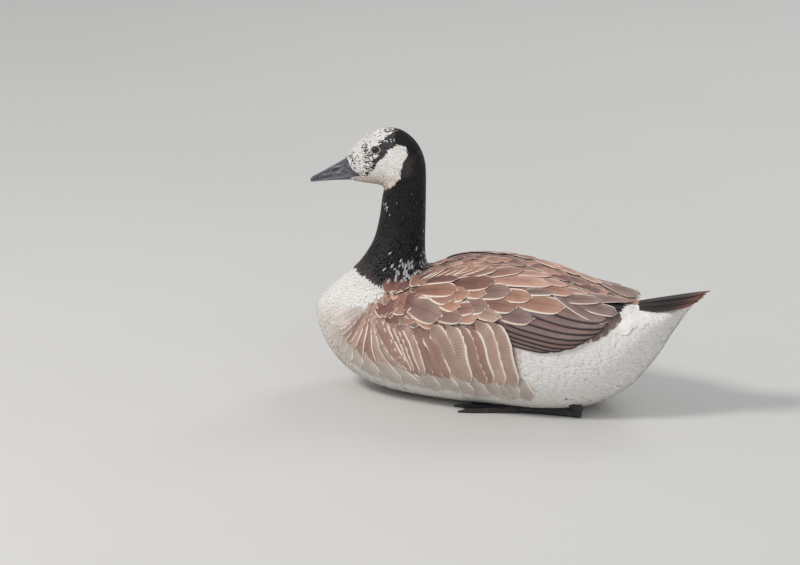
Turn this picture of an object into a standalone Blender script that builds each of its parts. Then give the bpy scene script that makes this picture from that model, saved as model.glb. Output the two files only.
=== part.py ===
"""Canada goose, life size, resting on its belly with its feet tucked under.

Metres, +Z up. The bird faces -X, its left side is at -Y, and the origin is on the floor below
the middle of its box.
"""

import math

import bmesh
import bpy
import numpy as np

MM = 0.001
GAP = 0.3 * MM  # between nodes that meet face to face
SOLVER = "EXACT"  # for every Boolean

# The body is one row of flat sections from the tail to the bill. Each section has a dorsal and a
# ventral point on the middle plane, a half width, the share of its height at which it is widest,
# and the squareness of its upper and lower halves (2 is an ellipse). All in millimetres.
SECTIONS = {
    "undertail_tip": ((246.0, 159.5), (247.5, 155.5), 15.0, 0.50, 2.0, 2.0),
    "undertail": ((222.0, 152.5), (233.0, 137.0), 31.0, 0.50, 2.2, 2.0),
    "tail_root": ((190.0, 146.0), (214.0, 108.0), 44.0, 0.55, 2.2, 2.0),
    "rump": ((160.0, 148.0), (191.0, 70.0), 57.0, 0.50, 2.2, 2.0),
    "vent": ((128.0, 157.0), (156.0, 30.0), 69.0, 0.48, 2.2, 2.1),
    "thigh": ((92.0, 167.0), (108.0, 5.0), 81.0, 0.46, 2.2, 2.2),
    "loin": ((50.0, 178.0), (56.0, -2.0), 91.0, 0.45, 2.2, 2.3),
    "back": ((8.0, 184.0), (0.0, -2.0), 96.0, 0.45, 2.2, 2.3),
    "withers": ((-32.0, 184.0), (-62.0, -2.0), 96.0, 0.45, 2.2, 2.3),
    "shoulder": ((-68.0, 179.0), (-118.0, -1.0), 90.0, 0.44, 2.1, 2.2),
    "neck_crook": ((-98.0, 169.0), (-172.0, 6.0), 82.0, 0.43, 2.1, 2.1),
    "crop": ((-110.0, 165.0), (-216.0, 24.0), 72.0, 0.42, 2.0, 2.0),
    "breast": ((-115.0, 166.0), (-247.0, 57.0), 61.0, 0.42, 2.0, 2.0),
    "breast_top": ((-116.5, 172.0), (-259.5, 93.0), 52.0, 0.42, 2.0, 2.0),
    "neck_root": ((-117.0, 183.0), (-250.0, 118.0), 44.0, 0.42, 2.0, 2.0),
    "neck_base": ((-117.0, 197.0), (-226.0, 141.0), 37.0, 0.45, 2.0, 2.0),
    "neck_low": ((-116.5, 214.0), (-202.0, 163.0), 31.0, 0.48, 2.0, 2.0),
    "neck_middle": ((-116.0, 236.0), (-183.5, 192.0), 26.5, 0.50, 2.0, 2.0),
    "neck_high": ((-115.5, 262.0), (-175.0, 222.0), 24.0, 0.50, 2.0, 2.0),
    "neck_top": ((-115.5, 284.0), (-171.0, 250.0), 23.5, 0.50, 2.0, 2.0),
    "throat": ((-117.0, 300.0), (-168.5, 262.5), 24.5, 0.50, 2.0, 2.0),
    "nape": ((-122.0, 315.0), (-171.5, 266.5), 25.5, 0.48, 2.0, 2.0),
    "hind_crown": ((-131.5, 328.5), (-177.0, 267.8), 26.0, 0.46, 2.0, 2.1),
    "crown": ((-146.0, 338.5), (-184.0, 268.3), 26.3, 0.44, 2.0, 2.2),
    "crown_front": ((-162.0, 341.3), (-191.5, 268.6), 26.0, 0.43, 2.0, 2.2),
    "brow": ((-178.0, 337.6), (-198.0, 268.8), 24.5, 0.42, 2.0, 2.2),
    "forehead": ((-193.0, 329.5), (-203.0, 269.0), 22.0, 0.42, 2.0, 2.2),
    "lores": ((-206.0, 318.0), (-206.5, 269.1), 19.0, 0.42, 2.0, 2.2),
    "face": ((-215.0, 306.0), (-209.0, 269.2), 16.5, 0.42, 2.0, 2.1),
    "bill_root": ((-221.5, 297.5), (-211.0, 269.3), 14.0, 0.42, 2.0, 2.0),
}
STATION = {name: index for index, name in enumerate(SECTIONS)}

# The bill's sections, root to tip, in the same terms.
BILL_SECTIONS = {
    "root": ((-221.5, 297.2), (-211.0, 270.0), 13.4, 0.36, 2.0, 2.0),
    "nostril_back": ((-229.5, 291.6), (-220.0, 269.0), 12.8, 0.34, 2.0, 2.0),
    "nostril_front": ((-238.5, 286.0), (-231.0, 268.0), 12.2, 0.34, 2.1, 2.0),
    "middle": ((-248.0, 280.2), (-242.0, 266.6), 11.5, 0.34, 2.2, 2.0),
    "nail_back": ((-257.0, 274.8), (-252.0, 265.2), 10.6, 0.36, 2.2, 2.0),
    "nail": ((-264.0, 270.6), (-260.5, 263.6), 8.8, 0.40, 2.2, 2.0),
    "nail_front": ((-268.3, 267.2), (-266.6, 262.4), 6.0, 0.45, 2.0, 2.0),
    "tip": ((-270.0, 264.8), (-269.4, 262.3), 2.6, 0.50, 2.0, 2.0),
}
MOUTH_SHARE = 0.17  # height of the mouth line in each bill section
LOWER_BILL_SCALE = 0.90  # the lower mandible is this much narrower than the upper

TORSO_END = STATION["neck_root"] + 0.5
TORSO_GRID = (31, 26)  # rings, and points in each
HEAD_START = STATION["neck_top"] + 0.6

EYE_AT = (-173.0, 317.0)  # side-view place of both eyes
EYE_RADIUS = 6.5 * MM
EYE_DEPTH = 3.6 * MM  # centre below the skin

LID_LENGTH, LID_HEIGHT, LID_THICKNESS = 6.2 * MM, 4.9 * MM, 1.3 * MM

GAPE_AT = (-206.5 * MM, 13.2 * MM, 273.8 * MM)  # corner of the mouth, in the head
GAPE_SIZE = (9.5 * MM, 2.6 * MM, 0.8 * MM)

NOSTRIL_AT = (-234.0 * MM, 10.4 * MM, 281.5 * MM)
NOSTRIL_SIZE = (5.0 * MM, 3.0 * MM, 1.4 * MM)

# The folded wing's place on the body, as station and turn in degrees: one row from the back down
# to the flank for each fifth of the way from the bend of the wing to the feather tips.
WING_PLACES = np.array(
    (
        ((10.3, 22), (10.6, 36), (10.7, 49), (10.75, 60), (10.6, 70)),
        ((8.9, 9), (9.0, 25), (9.1, 41), (9.2, 57), (9.3, 72)),
        ((7.4, 7), (7.6, 23), (7.8, 39), (8.0, 54), (8.2, 69)),
        ((5.9, 7.5), (6.2, 23), (6.5, 38), (6.8, 53), (7.1, 67)),
        ((4.35, 9.5), (4.7, 25), (5.1, 40), (5.6, 55), (6.3, 70)),
        ((2.75, 12), (3.0, 30), (3.35, 47), (3.95, 62), (5.48, 78)),
    )
)
WING_THICKNESS = 4.6 * MM
WING_EDGE = 1.4 * MM
WING_TIP_LIFT = 6.0 * MM
WING_CORE_END = 0.86
ROOT_DEPTH = 2.0 * MM  # a core reaches this far into the body before the body is cut out of it
WING_SEED = 5

# The wing's tiers from the feather tips forward: how many, where on the wing their roots and tips
# lie, half width, and how far the tip stands above the core.
WING_TIERS = (
    (11, 0.60, 1.00, 8.6 * MM, 1.6 * MM),
    (9, 0.44, 0.76, 9.6 * MM, 3.2 * MM),
    (8, 0.28, 0.56, 10.2 * MM, 3.0 * MM),
    (8, 0.13, 0.38, 9.6 * MM, 2.8 * MM),
    (6, 0.03, 0.20, 9.8 * MM, 2.4 * MM),
)
WING_VANE_EDGE = 0.05  # the outermost vanes' distance from the wing's long edges
WING_VANE_TURN = 0.10  # how far a feather slants down the flank on its way back
WING_VANE_ROLL = 1.1 * MM
WING_CAMBER = 6.0  # bend of a vane across its width, per metre: the body's own roundness

VANE_STEPS = np.array((0.0, 0.5, 0.86, 1.0))
VANE_WIDTHS = np.array((0.7, 1.0, 0.88, 0.4))
VANE_THINNING = np.array((1.2, 1.0, 0.9, 0.7))
VANE_THICKNESS = 0.8 * MM
VANE_ROOT_DEPTH = 1.8 * MM

TAIL_ROOT = (166.0, 144.0)
TAIL_LENGTH = 104.0
TAIL_ROUNDING = 14.0  # the outer feathers are this much shorter
TAIL_RISE = 0.24
TAIL_ARCH = 4.0
TAIL_HALF_ROOT = 26.0
TAIL_HALF_TIP = 44.0
TAIL_BLOCK_START, TAIL_BLOCK_END = -0.06, 0.42
TAIL_BLOCK_WIDTH = 0.95
TAIL_BLOCK_TOP = 1.8 * MM
TAIL_BLOCK_DEPTH = 9.0 * MM
TAIL_SEED = 11
TAIL_FEATHERS = 14
TAIL_STEP = 0.95 * MM  # each tail feather lies this far below the one nearer the middle
TAIL_HALF_VANE = 7.2 * MM
TAIL_WIDTHS = np.array((0.6, 0.85, 1.0, 0.45))
TAIL_CAMBER = 4.0
TAIL_COVERTS = 7
TAIL_COVERT_START = 0.05
TAIL_COVERT_LENGTH = 0.42
TAIL_COVERT_LIFT = 3.4 * MM

# The tucked right foot: each limb's path, and its half thickness at each point of the path.
LIMBS = (
    (
        ((84, 51, 40), (94, 49, 27), (104, 47, 14), (109, 46, 7)),
        (9.0, 8.0, 7.0, 6.4),
    ),
    (
        ((110, 46, 5.6), (92, 46.5, 4.8), (64, 48.5, 4.2), (36, 51, 4.0), (22, 52, 3.4)),
        (6.8, 6.0, 5.0, 5.6, 4.6),
    ),
    (
        ((30, 49, 3.2), (8, 44, 3.0), (-14, 39.5, 2.6), (-30, 37, 2.0), (-38, 36, 0.9)),
        (4.8, 3.8, 3.2, 2.6, 1.1),
    ),
    (
        ((32, 52, 3.4), (4, 54, 3.2), (-22, 57, 2.8), (-44, 58, 2.2), (-54, 58, 0.9)),
        (5.2, 4.0, 3.4, 2.8, 1.2),
    ),
    (
        ((30, 55, 3.2), (6, 63, 3.0), (-16, 72, 2.6), (-33, 77.5, 2.0), (-42, 80, 0.9)),
        (4.8, 3.8, 3.2, 2.6, 1.1),
    ),
    (
        ((34, 48, 3.2), (41, 40, 2.4), (46, 34.5, 1.7), (50, 30.5, 0.8)),
        (3.8, 2.9, 2.2, 1.0),
    ),
)
LIMB_SIDES = 7
WEB_OUTLINE = ((26, 51), (4, 45), (-30, 37.5), (-33, 45), (-44, 57), (-37, 67), (-33, 77), (6, 62))
WEB_REACH = 20.0 * MM  # about how far the web's edge is from its middle
WEB_THICKNESS = 2.2 * MM
FLOOR_CUT = ((-0.3, -0.3, -0.1), (0.3, 0.3, 0.0))

HEAD_GRID = (18, 26)
NECK_GRID = (14, 24)
MANDIBLE_SIDES = 12
UPPER_RINGS, LOWER_RINGS = 13, 9
LOWER_BILL_END = 5.7  # the lower mandible stops short of the nail
EYE_SEGMENTS = (14, 8)
LID_SEGMENTS = (18, 5)
CUT_SEGMENTS = (12, 6)

SHARP_ANGLE = 40.0

COLOURS = {
    "head": ((0.75, 0.74, 0.70), 0.8),
    "neck": ((0.012, 0.011, 0.012), 0.6),
    "torso": ((0.42, 0.34, 0.27), 0.8),
    "wing": ((0.21, 0.12, 0.08), 0.7),
    "tail": ((0.02, 0.016, 0.014), 0.6),
    "bill": ((0.03, 0.03, 0.035), 0.4),
    "eye": ((0.01, 0.007, 0.005), 0.05),
    "leg": ((0.03, 0.028, 0.027), 0.5),
}


def spline(rows, at):
    """Rows of numbers read at fractional places, along a smooth curve through all of them."""
    rows = np.asarray(rows, float)
    at = np.clip(np.asarray(at, float), 0, len(rows) - 1)
    left = np.minimum(at.astype(int), len(rows) - 2)
    share = (at - left)[..., None]
    slopes = np.gradient(rows, axis=0)
    a, b = rows[left], rows[left + 1]
    slope_a, slope_b = slopes[left], slopes[left + 1]
    square, cube = share**2, share**3
    return (
        a * (2 * cube - 3 * square + 1)
        + b * (3 * square - 2 * cube)
        + slope_a * (cube - 2 * square + share)
        + slope_b * (cube - square)
    )


def flat_rows(sections):
    return [(*dorsal, *ventral, *rest) for dorsal, ventral, *rest in sections.values()]


BODY_ROWS = flat_rows(SECTIONS)
BILL_ROWS = flat_rows(BILL_SECTIONS)


def section_point(rows, station, turn):
    """A point of the surface, in metres. Turn runs from 0 at the dorsal line, round by the bird's
    left side at a quarter turn, to pi at the ventral line and on to 2 pi."""
    row = spline(rows, station)
    dorsal_x, dorsal_z, ventral_x, ventral_z, half, widest, upper, lower = np.moveaxis(row, -1, 0)
    cosine, sine = np.cos(turn), np.sin(turn)
    square = np.where(cosine >= 0, upper, lower)
    height = np.sign(cosine) * np.abs(cosine) ** (2 / square)
    side = np.sign(sine) * np.abs(sine) ** (2 / square)
    share = np.where(height >= 0, widest + (1 - widest) * height, widest * (1 + height))
    x = ventral_x + (dorsal_x - ventral_x) * share
    z = ventral_z + (dorsal_z - ventral_z) * share
    return np.stack([x, -half * side, z], axis=-1) * MM


def body(station, turn, lift=0.0):
    """A point of the body's surface, lifted off it by lift metres, and never below the floor."""
    station, turn, lift = np.broadcast_arrays(
        np.asarray(station, float), np.asarray(turn, float), np.asarray(lift, float)
    )
    step = 1e-3
    point = section_point(BODY_ROWS, station, turn)
    ahead = section_point(BODY_ROWS, station + step, turn)
    behind = section_point(BODY_ROWS, station - step, turn)
    round_on = section_point(BODY_ROWS, station, turn + step)
    round_back = section_point(BODY_ROWS, station, turn - step)
    normal = np.cross(ahead - behind, round_on - round_back)
    normal /= np.linalg.norm(normal, axis=-1, keepdims=True)
    point = point + normal * lift[..., None]
    point[..., 2] = np.maximum(point[..., 2], 0)
    return point


def locate(x, z):
    """The station and turn, on the left side, whose surface point shows at x, z in side view."""
    stations = np.linspace(0, len(BODY_ROWS) - 1, 3000)
    rows = spline(BODY_ROWS, stations)
    share = (z - rows[:, 3]) / (rows[:, 1] - rows[:, 3])
    found = rows[:, 2] + (rows[:, 0] - rows[:, 2]) * share
    miss = np.where((share >= 0) & (share <= 1), np.abs(found - x), np.inf)
    best = int(np.argmin(miss))
    widest, upper, lower = rows[best, 5:]
    if share[best] >= widest:
        turn = math.acos(((share[best] - widest) / (1 - widest)) ** (upper / 2))
    else:
        turn = math.pi - math.acos(((widest - share[best]) / widest) ** (lower / 2))
    return stations[best], turn


def make_object(name, points, faces):
    mesh = bpy.data.meshes.new(name)
    mesh.from_pydata([tuple(p) for p in points], [], faces)
    mesh.update()
    thing = bpy.data.objects.new(name, mesh)
    bpy.context.scene.collection.objects.link(thing)
    return thing


def ring_mesh(name, rings):
    """A closed body from rings of points, each of the same count, with a flat cap on both ends.
    Its squares are split in one way, so that a shape and the same shape lifted stay parallel."""
    rings = np.asarray(rings)
    count, size = rings.shape[:2]
    faces = []
    for i in range(count - 1):
        for j in range(size):
            k = (j + 1) % size
            near, far = i * size, (i + 1) * size
            faces.append((near + j, near + k, far + k))
            faces.append((near + j, far + k, far + j))
    faces.append(tuple(range(size - 1, -1, -1)))
    faces.append(tuple((count - 1) * size + j for j in range(size)))
    thing = make_object(name, rings.reshape(-1, 3), faces)
    face_outwards(thing)
    return thing


def face_outwards(thing):
    """Turns the faces round if the closed mesh is inside out."""
    points = np.array([v.co for v in thing.data.vertices])
    thing.data.calc_loop_triangles()
    corners = np.array([t.vertices[:] for t in thing.data.loop_triangles])
    if np.linalg.det(points[corners]).sum() < 0:
        thing.data.flip_normals()


def boolean(thing, other, operation):
    modifier = thing.modifiers.new(operation.title(), "BOOLEAN")
    modifier.operation = operation
    modifier.object = other
    modifier.solver = SOLVER
    evaluated = thing.evaluated_get(bpy.context.evaluated_depsgraph_get())
    mesh = bpy.data.meshes.new_from_object(evaluated)
    thing.modifiers.clear()
    thing.data = mesh
    bpy.data.objects.remove(other)


def torso_shape(name, lift):
    """The torso, or the same shape lifted off it all round, to cut what rests on the torso."""
    count, around = TORSO_GRID
    turns = np.arange(around) / around * 2 * math.pi
    stations = np.linspace(0, TORSO_END, count)
    rings = body(stations[:, None], turns[None, :], lift)
    rings[0] = shifted_section(rings[0], 0, -lift)
    return ring_mesh(name, rings)


def shifted_section(ring, station, shift):
    """A section's ring of points moved along the body by shift, square to its own plane."""
    row = spline(BODY_ROWS, station)
    along = np.array([row[3] - row[1], 0, row[0] - row[2]])
    return ring + along / np.linalg.norm(along) * shift


def make_neck():
    count, around = NECK_GRID
    turns = np.arange(around) / around * 2 * math.pi
    stations = np.linspace(TORSO_END, HEAD_START, count)
    rings = body(stations[:, None], turns[None, :])
    rings[0] = shifted_section(rings[0], TORSO_END, GAP)
    return ring_mesh("neck", rings)


def make_head():
    count, around = HEAD_GRID
    turns = np.arange(around) / around * 2 * math.pi
    stations = np.linspace(HEAD_START, len(BODY_ROWS) - 1, count)
    rings = body(stations[:, None], turns[None, :])
    rings[0] = shifted_section(rings[0], HEAD_START, GAP)
    return ring_mesh("head", rings)


def wing_place(u, v):
    """Station and turn, in radians, of a spot on the folded wing: u runs from the bend of the
    wing to the feather tips and v from the back down to the flank."""
    rows, columns = WING_PLACES.shape[:2]
    u, v = np.broadcast_arrays(u, v)
    weight_u = spline(np.eye(rows), u * (rows - 1))
    weight_v = spline(np.eye(columns), v * (columns - 1))
    place = np.einsum("...i,...j,ijk->...k", weight_u, weight_v, WING_PLACES)
    return place[..., 0], np.radians(place[..., 1])


def wing_rise(u, v):
    """Height of the wing's core above the body, thin at its edges and lifted towards the tips."""
    edge = np.clip(np.minimum(np.minimum(v, 1 - v) * 5, u * 9), 0, 1)
    core = WING_EDGE + (WING_THICKNESS - WING_EDGE) * np.sqrt(edge * (2 - edge))
    return core + wing_air(u)


def wing_air(u):
    """How far the wing's underside stands off the body, behind the part that lies on it."""
    return WING_TIP_LIFT * np.clip((u - 0.72) / 0.28, 0, 1) ** 1.5


def wing_point(u, v, lift, side):
    """A point over the wing's place on the body, lift metres above the gap."""
    stations, turns = wing_place(u, v)
    return body(stations, turns, GAP + lift) * (1, -side, 1)


def make_wing(side):
    """The folded wing: a thin core on the back, with its feathers in five overlapping tiers."""
    rng = np.random.default_rng(WING_SEED)
    core_u = np.linspace(0, WING_CORE_END, 11)[:, None]
    core_v = np.linspace(0, 1, 8)[None, :]
    over = wing_point(core_u, core_v, wing_rise(core_u, core_v), side)
    under = wing_point(core_u, core_v, wing_air(core_u) - ROOT_DEPTH + 0 * core_v, side)
    pieces = [shell("core", over, under)]
    for count, root_u, tip_u, half_width, lift in WING_TIERS:
        for place in range(count):
            v = WING_VANE_EDGE + (1 - 2 * WING_VANE_EDGE) * place / (count - 1)
            vary = rng.uniform(-1, 1, 4)
            tip = tip_u * (1 + 0.02 * vary[0])
            turn_down = WING_VANE_TURN * (1 - root_u) * (0.4 + 0.6 * v)
            rows = root_u + (tip - root_u) * VANE_STEPS
            columns = v + turn_down * (VANE_STEPS - 0.5) + 0.006 * vary[1]
            climb = lift + VANE_ROOT_DEPTH + 0.25 * MM * vary[2]
            height = wing_rise(rows, np.clip(columns, 0.2, 0.8)) - VANE_ROOT_DEPTH + climb * VANE_STEPS
            middle = wing_point(rows, columns, height, side)
            lower = wing_point(rows, columns, height - MM, side)
            width = half_width * (1 + 0.06 * vary[3]) * VANE_WIDTHS
            pieces.append(vane(middle, middle - lower, width, WING_VANE_ROLL, WING_CAMBER, side))
    wing = join("wing_left" if side < 0 else "wing_right", pieces)
    boolean(wing, torso_shape("body", GAP), "DIFFERENCE")
    keep_largest(wing)


def vane(middle, out, half_width, roll, camber, side):
    """One feather: a thin blade along a line of points, its lower edge raised by roll over the
    next feather, and both edges bent down by camber. Both faces are triangulated alike."""
    out = out / np.linalg.norm(out, axis=1, keepdims=True)
    along = np.gradient(middle, axis=0)
    along /= np.linalg.norm(along, axis=1, keepdims=True)
    across = np.cross(along, out) * side
    across /= np.linalg.norm(across, axis=1, keepdims=True)
    share = np.array((-1.0, 0.0, 1.0))[None, :, None]
    width = half_width[:, None, None]
    bent = roll * share - camber * (share * width) ** 2
    grid = middle[:, None] + across[:, None] * share * width + out[:, None] * bent
    thick = VANE_THICKNESS * VANE_THINNING[:, None, None] / 2
    return shell("vane", grid + out[:, None] * thick, grid - out[:, None] * thick)


def shell(name, over, under):
    """A closed body between two grids of points of the same size, each square split alike."""
    lengths, widths = over.shape[:2]
    points = np.concatenate([over.reshape(-1, 3), under.reshape(-1, 3)])
    shift = lengths * widths
    faces = []
    for i in range(lengths - 1):
        for j in range(widths - 1):
            a, b = i * widths + j, i * widths + j + 1
            c, d = b + widths, a + widths
            faces.append((a, b, c))
            faces.append((a, c, d))
            faces.append((c + shift, b + shift, a + shift))
            faces.append((d + shift, c + shift, a + shift))
    border = list(range(widths))
    border += [i * widths + widths - 1 for i in range(1, lengths)]
    border += [(lengths - 1) * widths + j for j in range(widths - 2, -1, -1)]
    border += [i * widths for i in range(lengths - 2, 0, -1)]
    for a, b in zip(border, border[1:] + border[:1]):
        faces.append((b, a, a + shift))
        faces.append((b, a + shift, b + shift))
    thing = make_object(name, points, faces)
    face_outwards(thing)
    return thing


def bill_ring(station, lower_half, shift):
    """One flat ring of a mandible: its part of the bill's section, closed along the mouth line."""
    row = spline(BILL_ROWS, station)
    widest, lower = row[5], row[7]
    mouth_turn = math.pi - math.acos(((widest - MOUTH_SHARE) / widest) ** (lower / 2))
    if lower_half:
        turns = np.linspace(mouth_turn, 2 * math.pi - mouth_turn, MANDIBLE_SIDES)
        narrow = np.array([1, LOWER_BILL_SCALE, 1])
    else:
        turns = np.linspace(-mouth_turn, mouth_turn, MANDIBLE_SIDES)
        narrow = np.ones(3)
    ring = section_point(BILL_ROWS, np.full(MANDIBLE_SIDES, float(station)), turns)
    return ring * narrow + np.array(shift)


def make_bill():
    count = len(BILL_ROWS)
    stations = np.linspace(0, count - 1, UPPER_RINGS)
    bill = ring_mesh("bill_upper", [bill_ring(i, False, (-GAP, 0, 0)) for i in stations])
    for side in (-1, 1):
        nostril = ellipsoid("nostril", NOSTRIL_AT, NOSTRIL_SIZE, side, CUT_SEGMENTS)
        boolean(bill, nostril, "DIFFERENCE")
    stations = np.linspace(0, LOWER_BILL_END, LOWER_RINGS)
    ring_mesh("bill_lower", [bill_ring(i, True, (-GAP, 0, -GAP)) for i in stations])


def ellipsoid(name, at, size, side, segments):
    """A ball at x, y, z on one side of the bird, with a half size along each of its own axes."""
    around, levels = segments
    turns = np.arange(around) / around * 2 * math.pi
    heights = (np.arange(levels) + 0.5) / levels * math.pi
    circle = np.stack([np.cos(turns), np.zeros(around), np.sin(turns)], axis=-1)
    pole = np.array([0.0, 1.0, 0.0])
    rings = circle[None] * np.sin(heights)[:, None, None] + pole * np.cos(heights)[:, None, None]
    centre = np.array(at) * (1, side, 1)
    return ring_mesh(name, centre + rings * np.array(size))


def tube(path, radii, around, grow=0.0):
    """A closed tube along a path, grown outwards by grow, each ring square to the path."""
    path, radii = np.array(path, float), np.asarray(radii, float) + grow
    turns = np.arange(around) / around * 2 * math.pi
    along = np.gradient(path, axis=0)
    along /= np.linalg.norm(along, axis=1, keepdims=True)
    path[0] -= along[0] * grow
    path[-1] += along[-1] * grow
    across = np.cross(along, (0, 0, 1))
    across /= np.linalg.norm(across, axis=1, keepdims=True)
    upward = np.cross(across, along)
    circle = np.cos(turns)[None, :, None] * across[:, None]
    circle = circle + np.sin(turns)[None, :, None] * upward[:, None]
    return ring_mesh("limb", path[:, None] + circle * radii[:, None, None])


def join(name, pieces):
    """One closed body from overlapping closed pieces."""
    whole, rest = pieces[0], pieces[1:]
    group = bpy.data.collections.new(name + "_pieces")
    for piece in rest:
        group.objects.link(piece)
    modifier = whole.modifiers.new("Union", "BOOLEAN")
    modifier.operation = "UNION"
    modifier.operand_type = "COLLECTION"
    modifier.collection = group
    modifier.solver = SOLVER
    evaluated = whole.evaluated_get(bpy.context.evaluated_depsgraph_get())
    mesh = bpy.data.meshes.new_from_object(evaluated)
    whole.modifiers.clear()
    whole.data = mesh
    whole.name = name
    for piece in rest:
        bpy.data.objects.remove(piece)
    bpy.data.collections.remove(group)
    keep_largest(whole)
    return whole


def keep_largest(thing):
    """Leaves only the closed surface of the node's mesh with the largest volume."""
    mesh = bmesh.new()
    mesh.from_mesh(thing.data)
    bmesh.ops.triangulate(mesh, faces=mesh.faces[:])
    bmesh.ops.remove_doubles(mesh, verts=mesh.verts[:], dist=1e-6)
    islands, seen = [], set()
    for face in mesh.faces:
        if face in seen:
            continue
        island, waiting = [], [face]
        seen.add(face)
        while waiting:
            here = waiting.pop()
            island.append(here)
            for edge in here.edges:
                for near in edge.link_faces:
                    if near not in seen:
                        seen.add(near)
                        waiting.append(near)
        corners = [[v.co for v in f.verts] for f in island]
        islands.append((sum(a.dot(b.cross(c)) for a, b, c in corners), island))
    islands.sort(key=lambda pair: pair[0])
    spare = [face for _, island in islands[:-1] for face in island]
    bmesh.ops.delete(mesh, geom=spare, context="FACES")
    loose = [v for v in mesh.verts if not v.link_faces]
    bmesh.ops.delete(mesh, geom=loose, context="VERTS")
    mesh.to_mesh(thing.data)
    mesh.free()


def skin_frame(station, turn, side):
    """Place, outward direction and forward direction of the skin at one spot."""
    mirror = np.array([1.0, -side, 1.0])
    here = body(station, turn)
    out = body(station, turn, MM) - here
    forward = body(station + 0.01, turn) - here
    out, forward = out * mirror, forward * mirror
    out /= np.linalg.norm(out)
    forward -= out * forward.dot(out)
    return here * mirror, out, forward / np.linalg.norm(forward)


def eyelids(side):
    """The ring of the lids, longer than it is high."""
    around, across = LID_SEGMENTS
    here, out, forward = skin_frame(*locate(*EYE_AT), side)
    upward = np.cross(out, forward)
    turns = np.arange(around) / around * 2 * math.pi
    rim = np.cos(turns)[:, None] * forward * LID_LENGTH + np.sin(turns)[:, None] * upward * LID_HEIGHT
    outward = rim / np.linalg.norm(rim, axis=1, keepdims=True)
    bead = np.arange(across) / across * 2 * math.pi
    rings = (
        (here + rim)[:, None]
        + outward[:, None] * np.cos(bead)[None, :, None] * LID_THICKNESS
        + out * np.sin(bead)[None, :, None] * LID_THICKNESS
    )
    points = rings.reshape(-1, 3)
    faces = []
    for i in range(around):
        for j in range(across):
            k, l = (i + 1) % around, (j + 1) % across
            faces.append((i * across + j, i * across + l, k * across + l, k * across + j))
    lids = make_object("lids", points, faces)
    face_outwards(lids)
    return lids


def eyeball(name, side, radius):
    here, out, _ = skin_frame(*locate(*EYE_AT), side)
    centre = here - out * EYE_DEPTH
    return ellipsoid(name, centre, (radius,) * 3, 1, EYE_SEGMENTS)


def make_head_with_eyes():
    head = make_head()
    head = join("head", [head, eyelids(-1), eyelids(1)])
    for side in (-1, 1):
        boolean(head, ellipsoid("gape", GAPE_AT, GAPE_SIZE, side, CUT_SEGMENTS), "DIFFERENCE")
    for side, word in ((-1, "left"), (1, "right")):
        boolean(head, eyeball("socket", side, EYE_RADIUS + GAP), "DIFFERENCE")
        eyeball("eye_" + word, side, EYE_RADIUS)
    keep_largest(head)


def tail_point(along, across, lift=0.0):
    """A point of the tail's fan: along runs from root to tip, across from -1 left to 1 right."""
    along, across, lift = np.broadcast_arrays(along, across, lift)
    length = TAIL_LENGTH - TAIL_ROUNDING * across**2
    x = TAIL_ROOT[0] + along * length
    y = across * (TAIL_HALF_ROOT + (TAIL_HALF_TIP - TAIL_HALF_ROOT) * along)
    z = TAIL_ROOT[1] + TAIL_RISE * along * length - TAIL_ARCH * across**2 * (0.3 + 0.7 * along)
    return np.stack([x, y, z], axis=-1) * MM + np.array([0, 0, 1]) * lift[..., None]


def make_tail():
    """A root block, the fan of feathers with the middle ones on top, and a tier of coverts."""
    rng = np.random.default_rng(TAIL_SEED)
    along = np.linspace(TAIL_BLOCK_START, TAIL_BLOCK_END, 5)[:, None]
    across = np.linspace(-TAIL_BLOCK_WIDTH, TAIL_BLOCK_WIDTH, 6)[None, :]
    taper = 1 - 0.6 * np.clip(along / TAIL_BLOCK_END, 0, 1) ** 2
    over = tail_point(along, across, TAIL_BLOCK_TOP * taper * (1 - across**4))
    under = tail_point(along, across, -TAIL_BLOCK_DEPTH * taper + 0 * across)
    pieces = [shell("block", over, under)]
    half = TAIL_FEATHERS // 2
    for rank in range(half):
        for side in (-1, 1):
            vary = rng.uniform(-1, 1, 3)
            place = side * (rank + 0.5) / half
            level = -(rank + (side < 0)) * TAIL_STEP
            steps = VANE_STEPS * (1 - 0.03 - 0.03 * vary[0])
            lift = level * np.minimum(1, 0.35 + 1.6 * VANE_STEPS) + 0.2 * MM * vary[1]
            middle = tail_point(steps, place * (0.8 + 0.2 * VANE_STEPS), lift)
            up = np.tile((0.0, 0.0, 1.0), (len(steps), 1))
            pieces.append(vane(middle, up, TAIL_HALF_VANE * TAIL_WIDTHS, 0, TAIL_CAMBER, side))
    for place in range(TAIL_COVERTS):
        vary = rng.uniform(-1, 1, 2)
        across = (2 * place / (TAIL_COVERTS - 1) - 1) * 0.8
        steps = TAIL_COVERT_START + VANE_STEPS * (TAIL_COVERT_LENGTH + 0.02 * vary[0])
        lift = TAIL_COVERT_LIFT * VANE_STEPS + (place % 2) * TAIL_STEP * VANE_STEPS
        middle = tail_point(steps, np.full(len(steps), across), lift)
        up = np.tile((0.0, 0.0, 1.0), (len(steps), 1))
        pieces.append(vane(middle, up, TAIL_HALF_VANE * VANE_WIDTHS, 0, TAIL_CAMBER, 1))
    tail = join("tail", pieces)
    boolean(tail, torso_shape("body", GAP), "DIFFERENCE")
    keep_largest(tail)


def make_leg(side, name):
    """Foot folded forward along the floor under the belly, and flat where it lies on the floor."""
    leg = leg_shape(side, name, 0.0)
    boolean(leg, box("floor", *FLOOR_CUT), "DIFFERENCE")
    keep_largest(leg)


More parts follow.
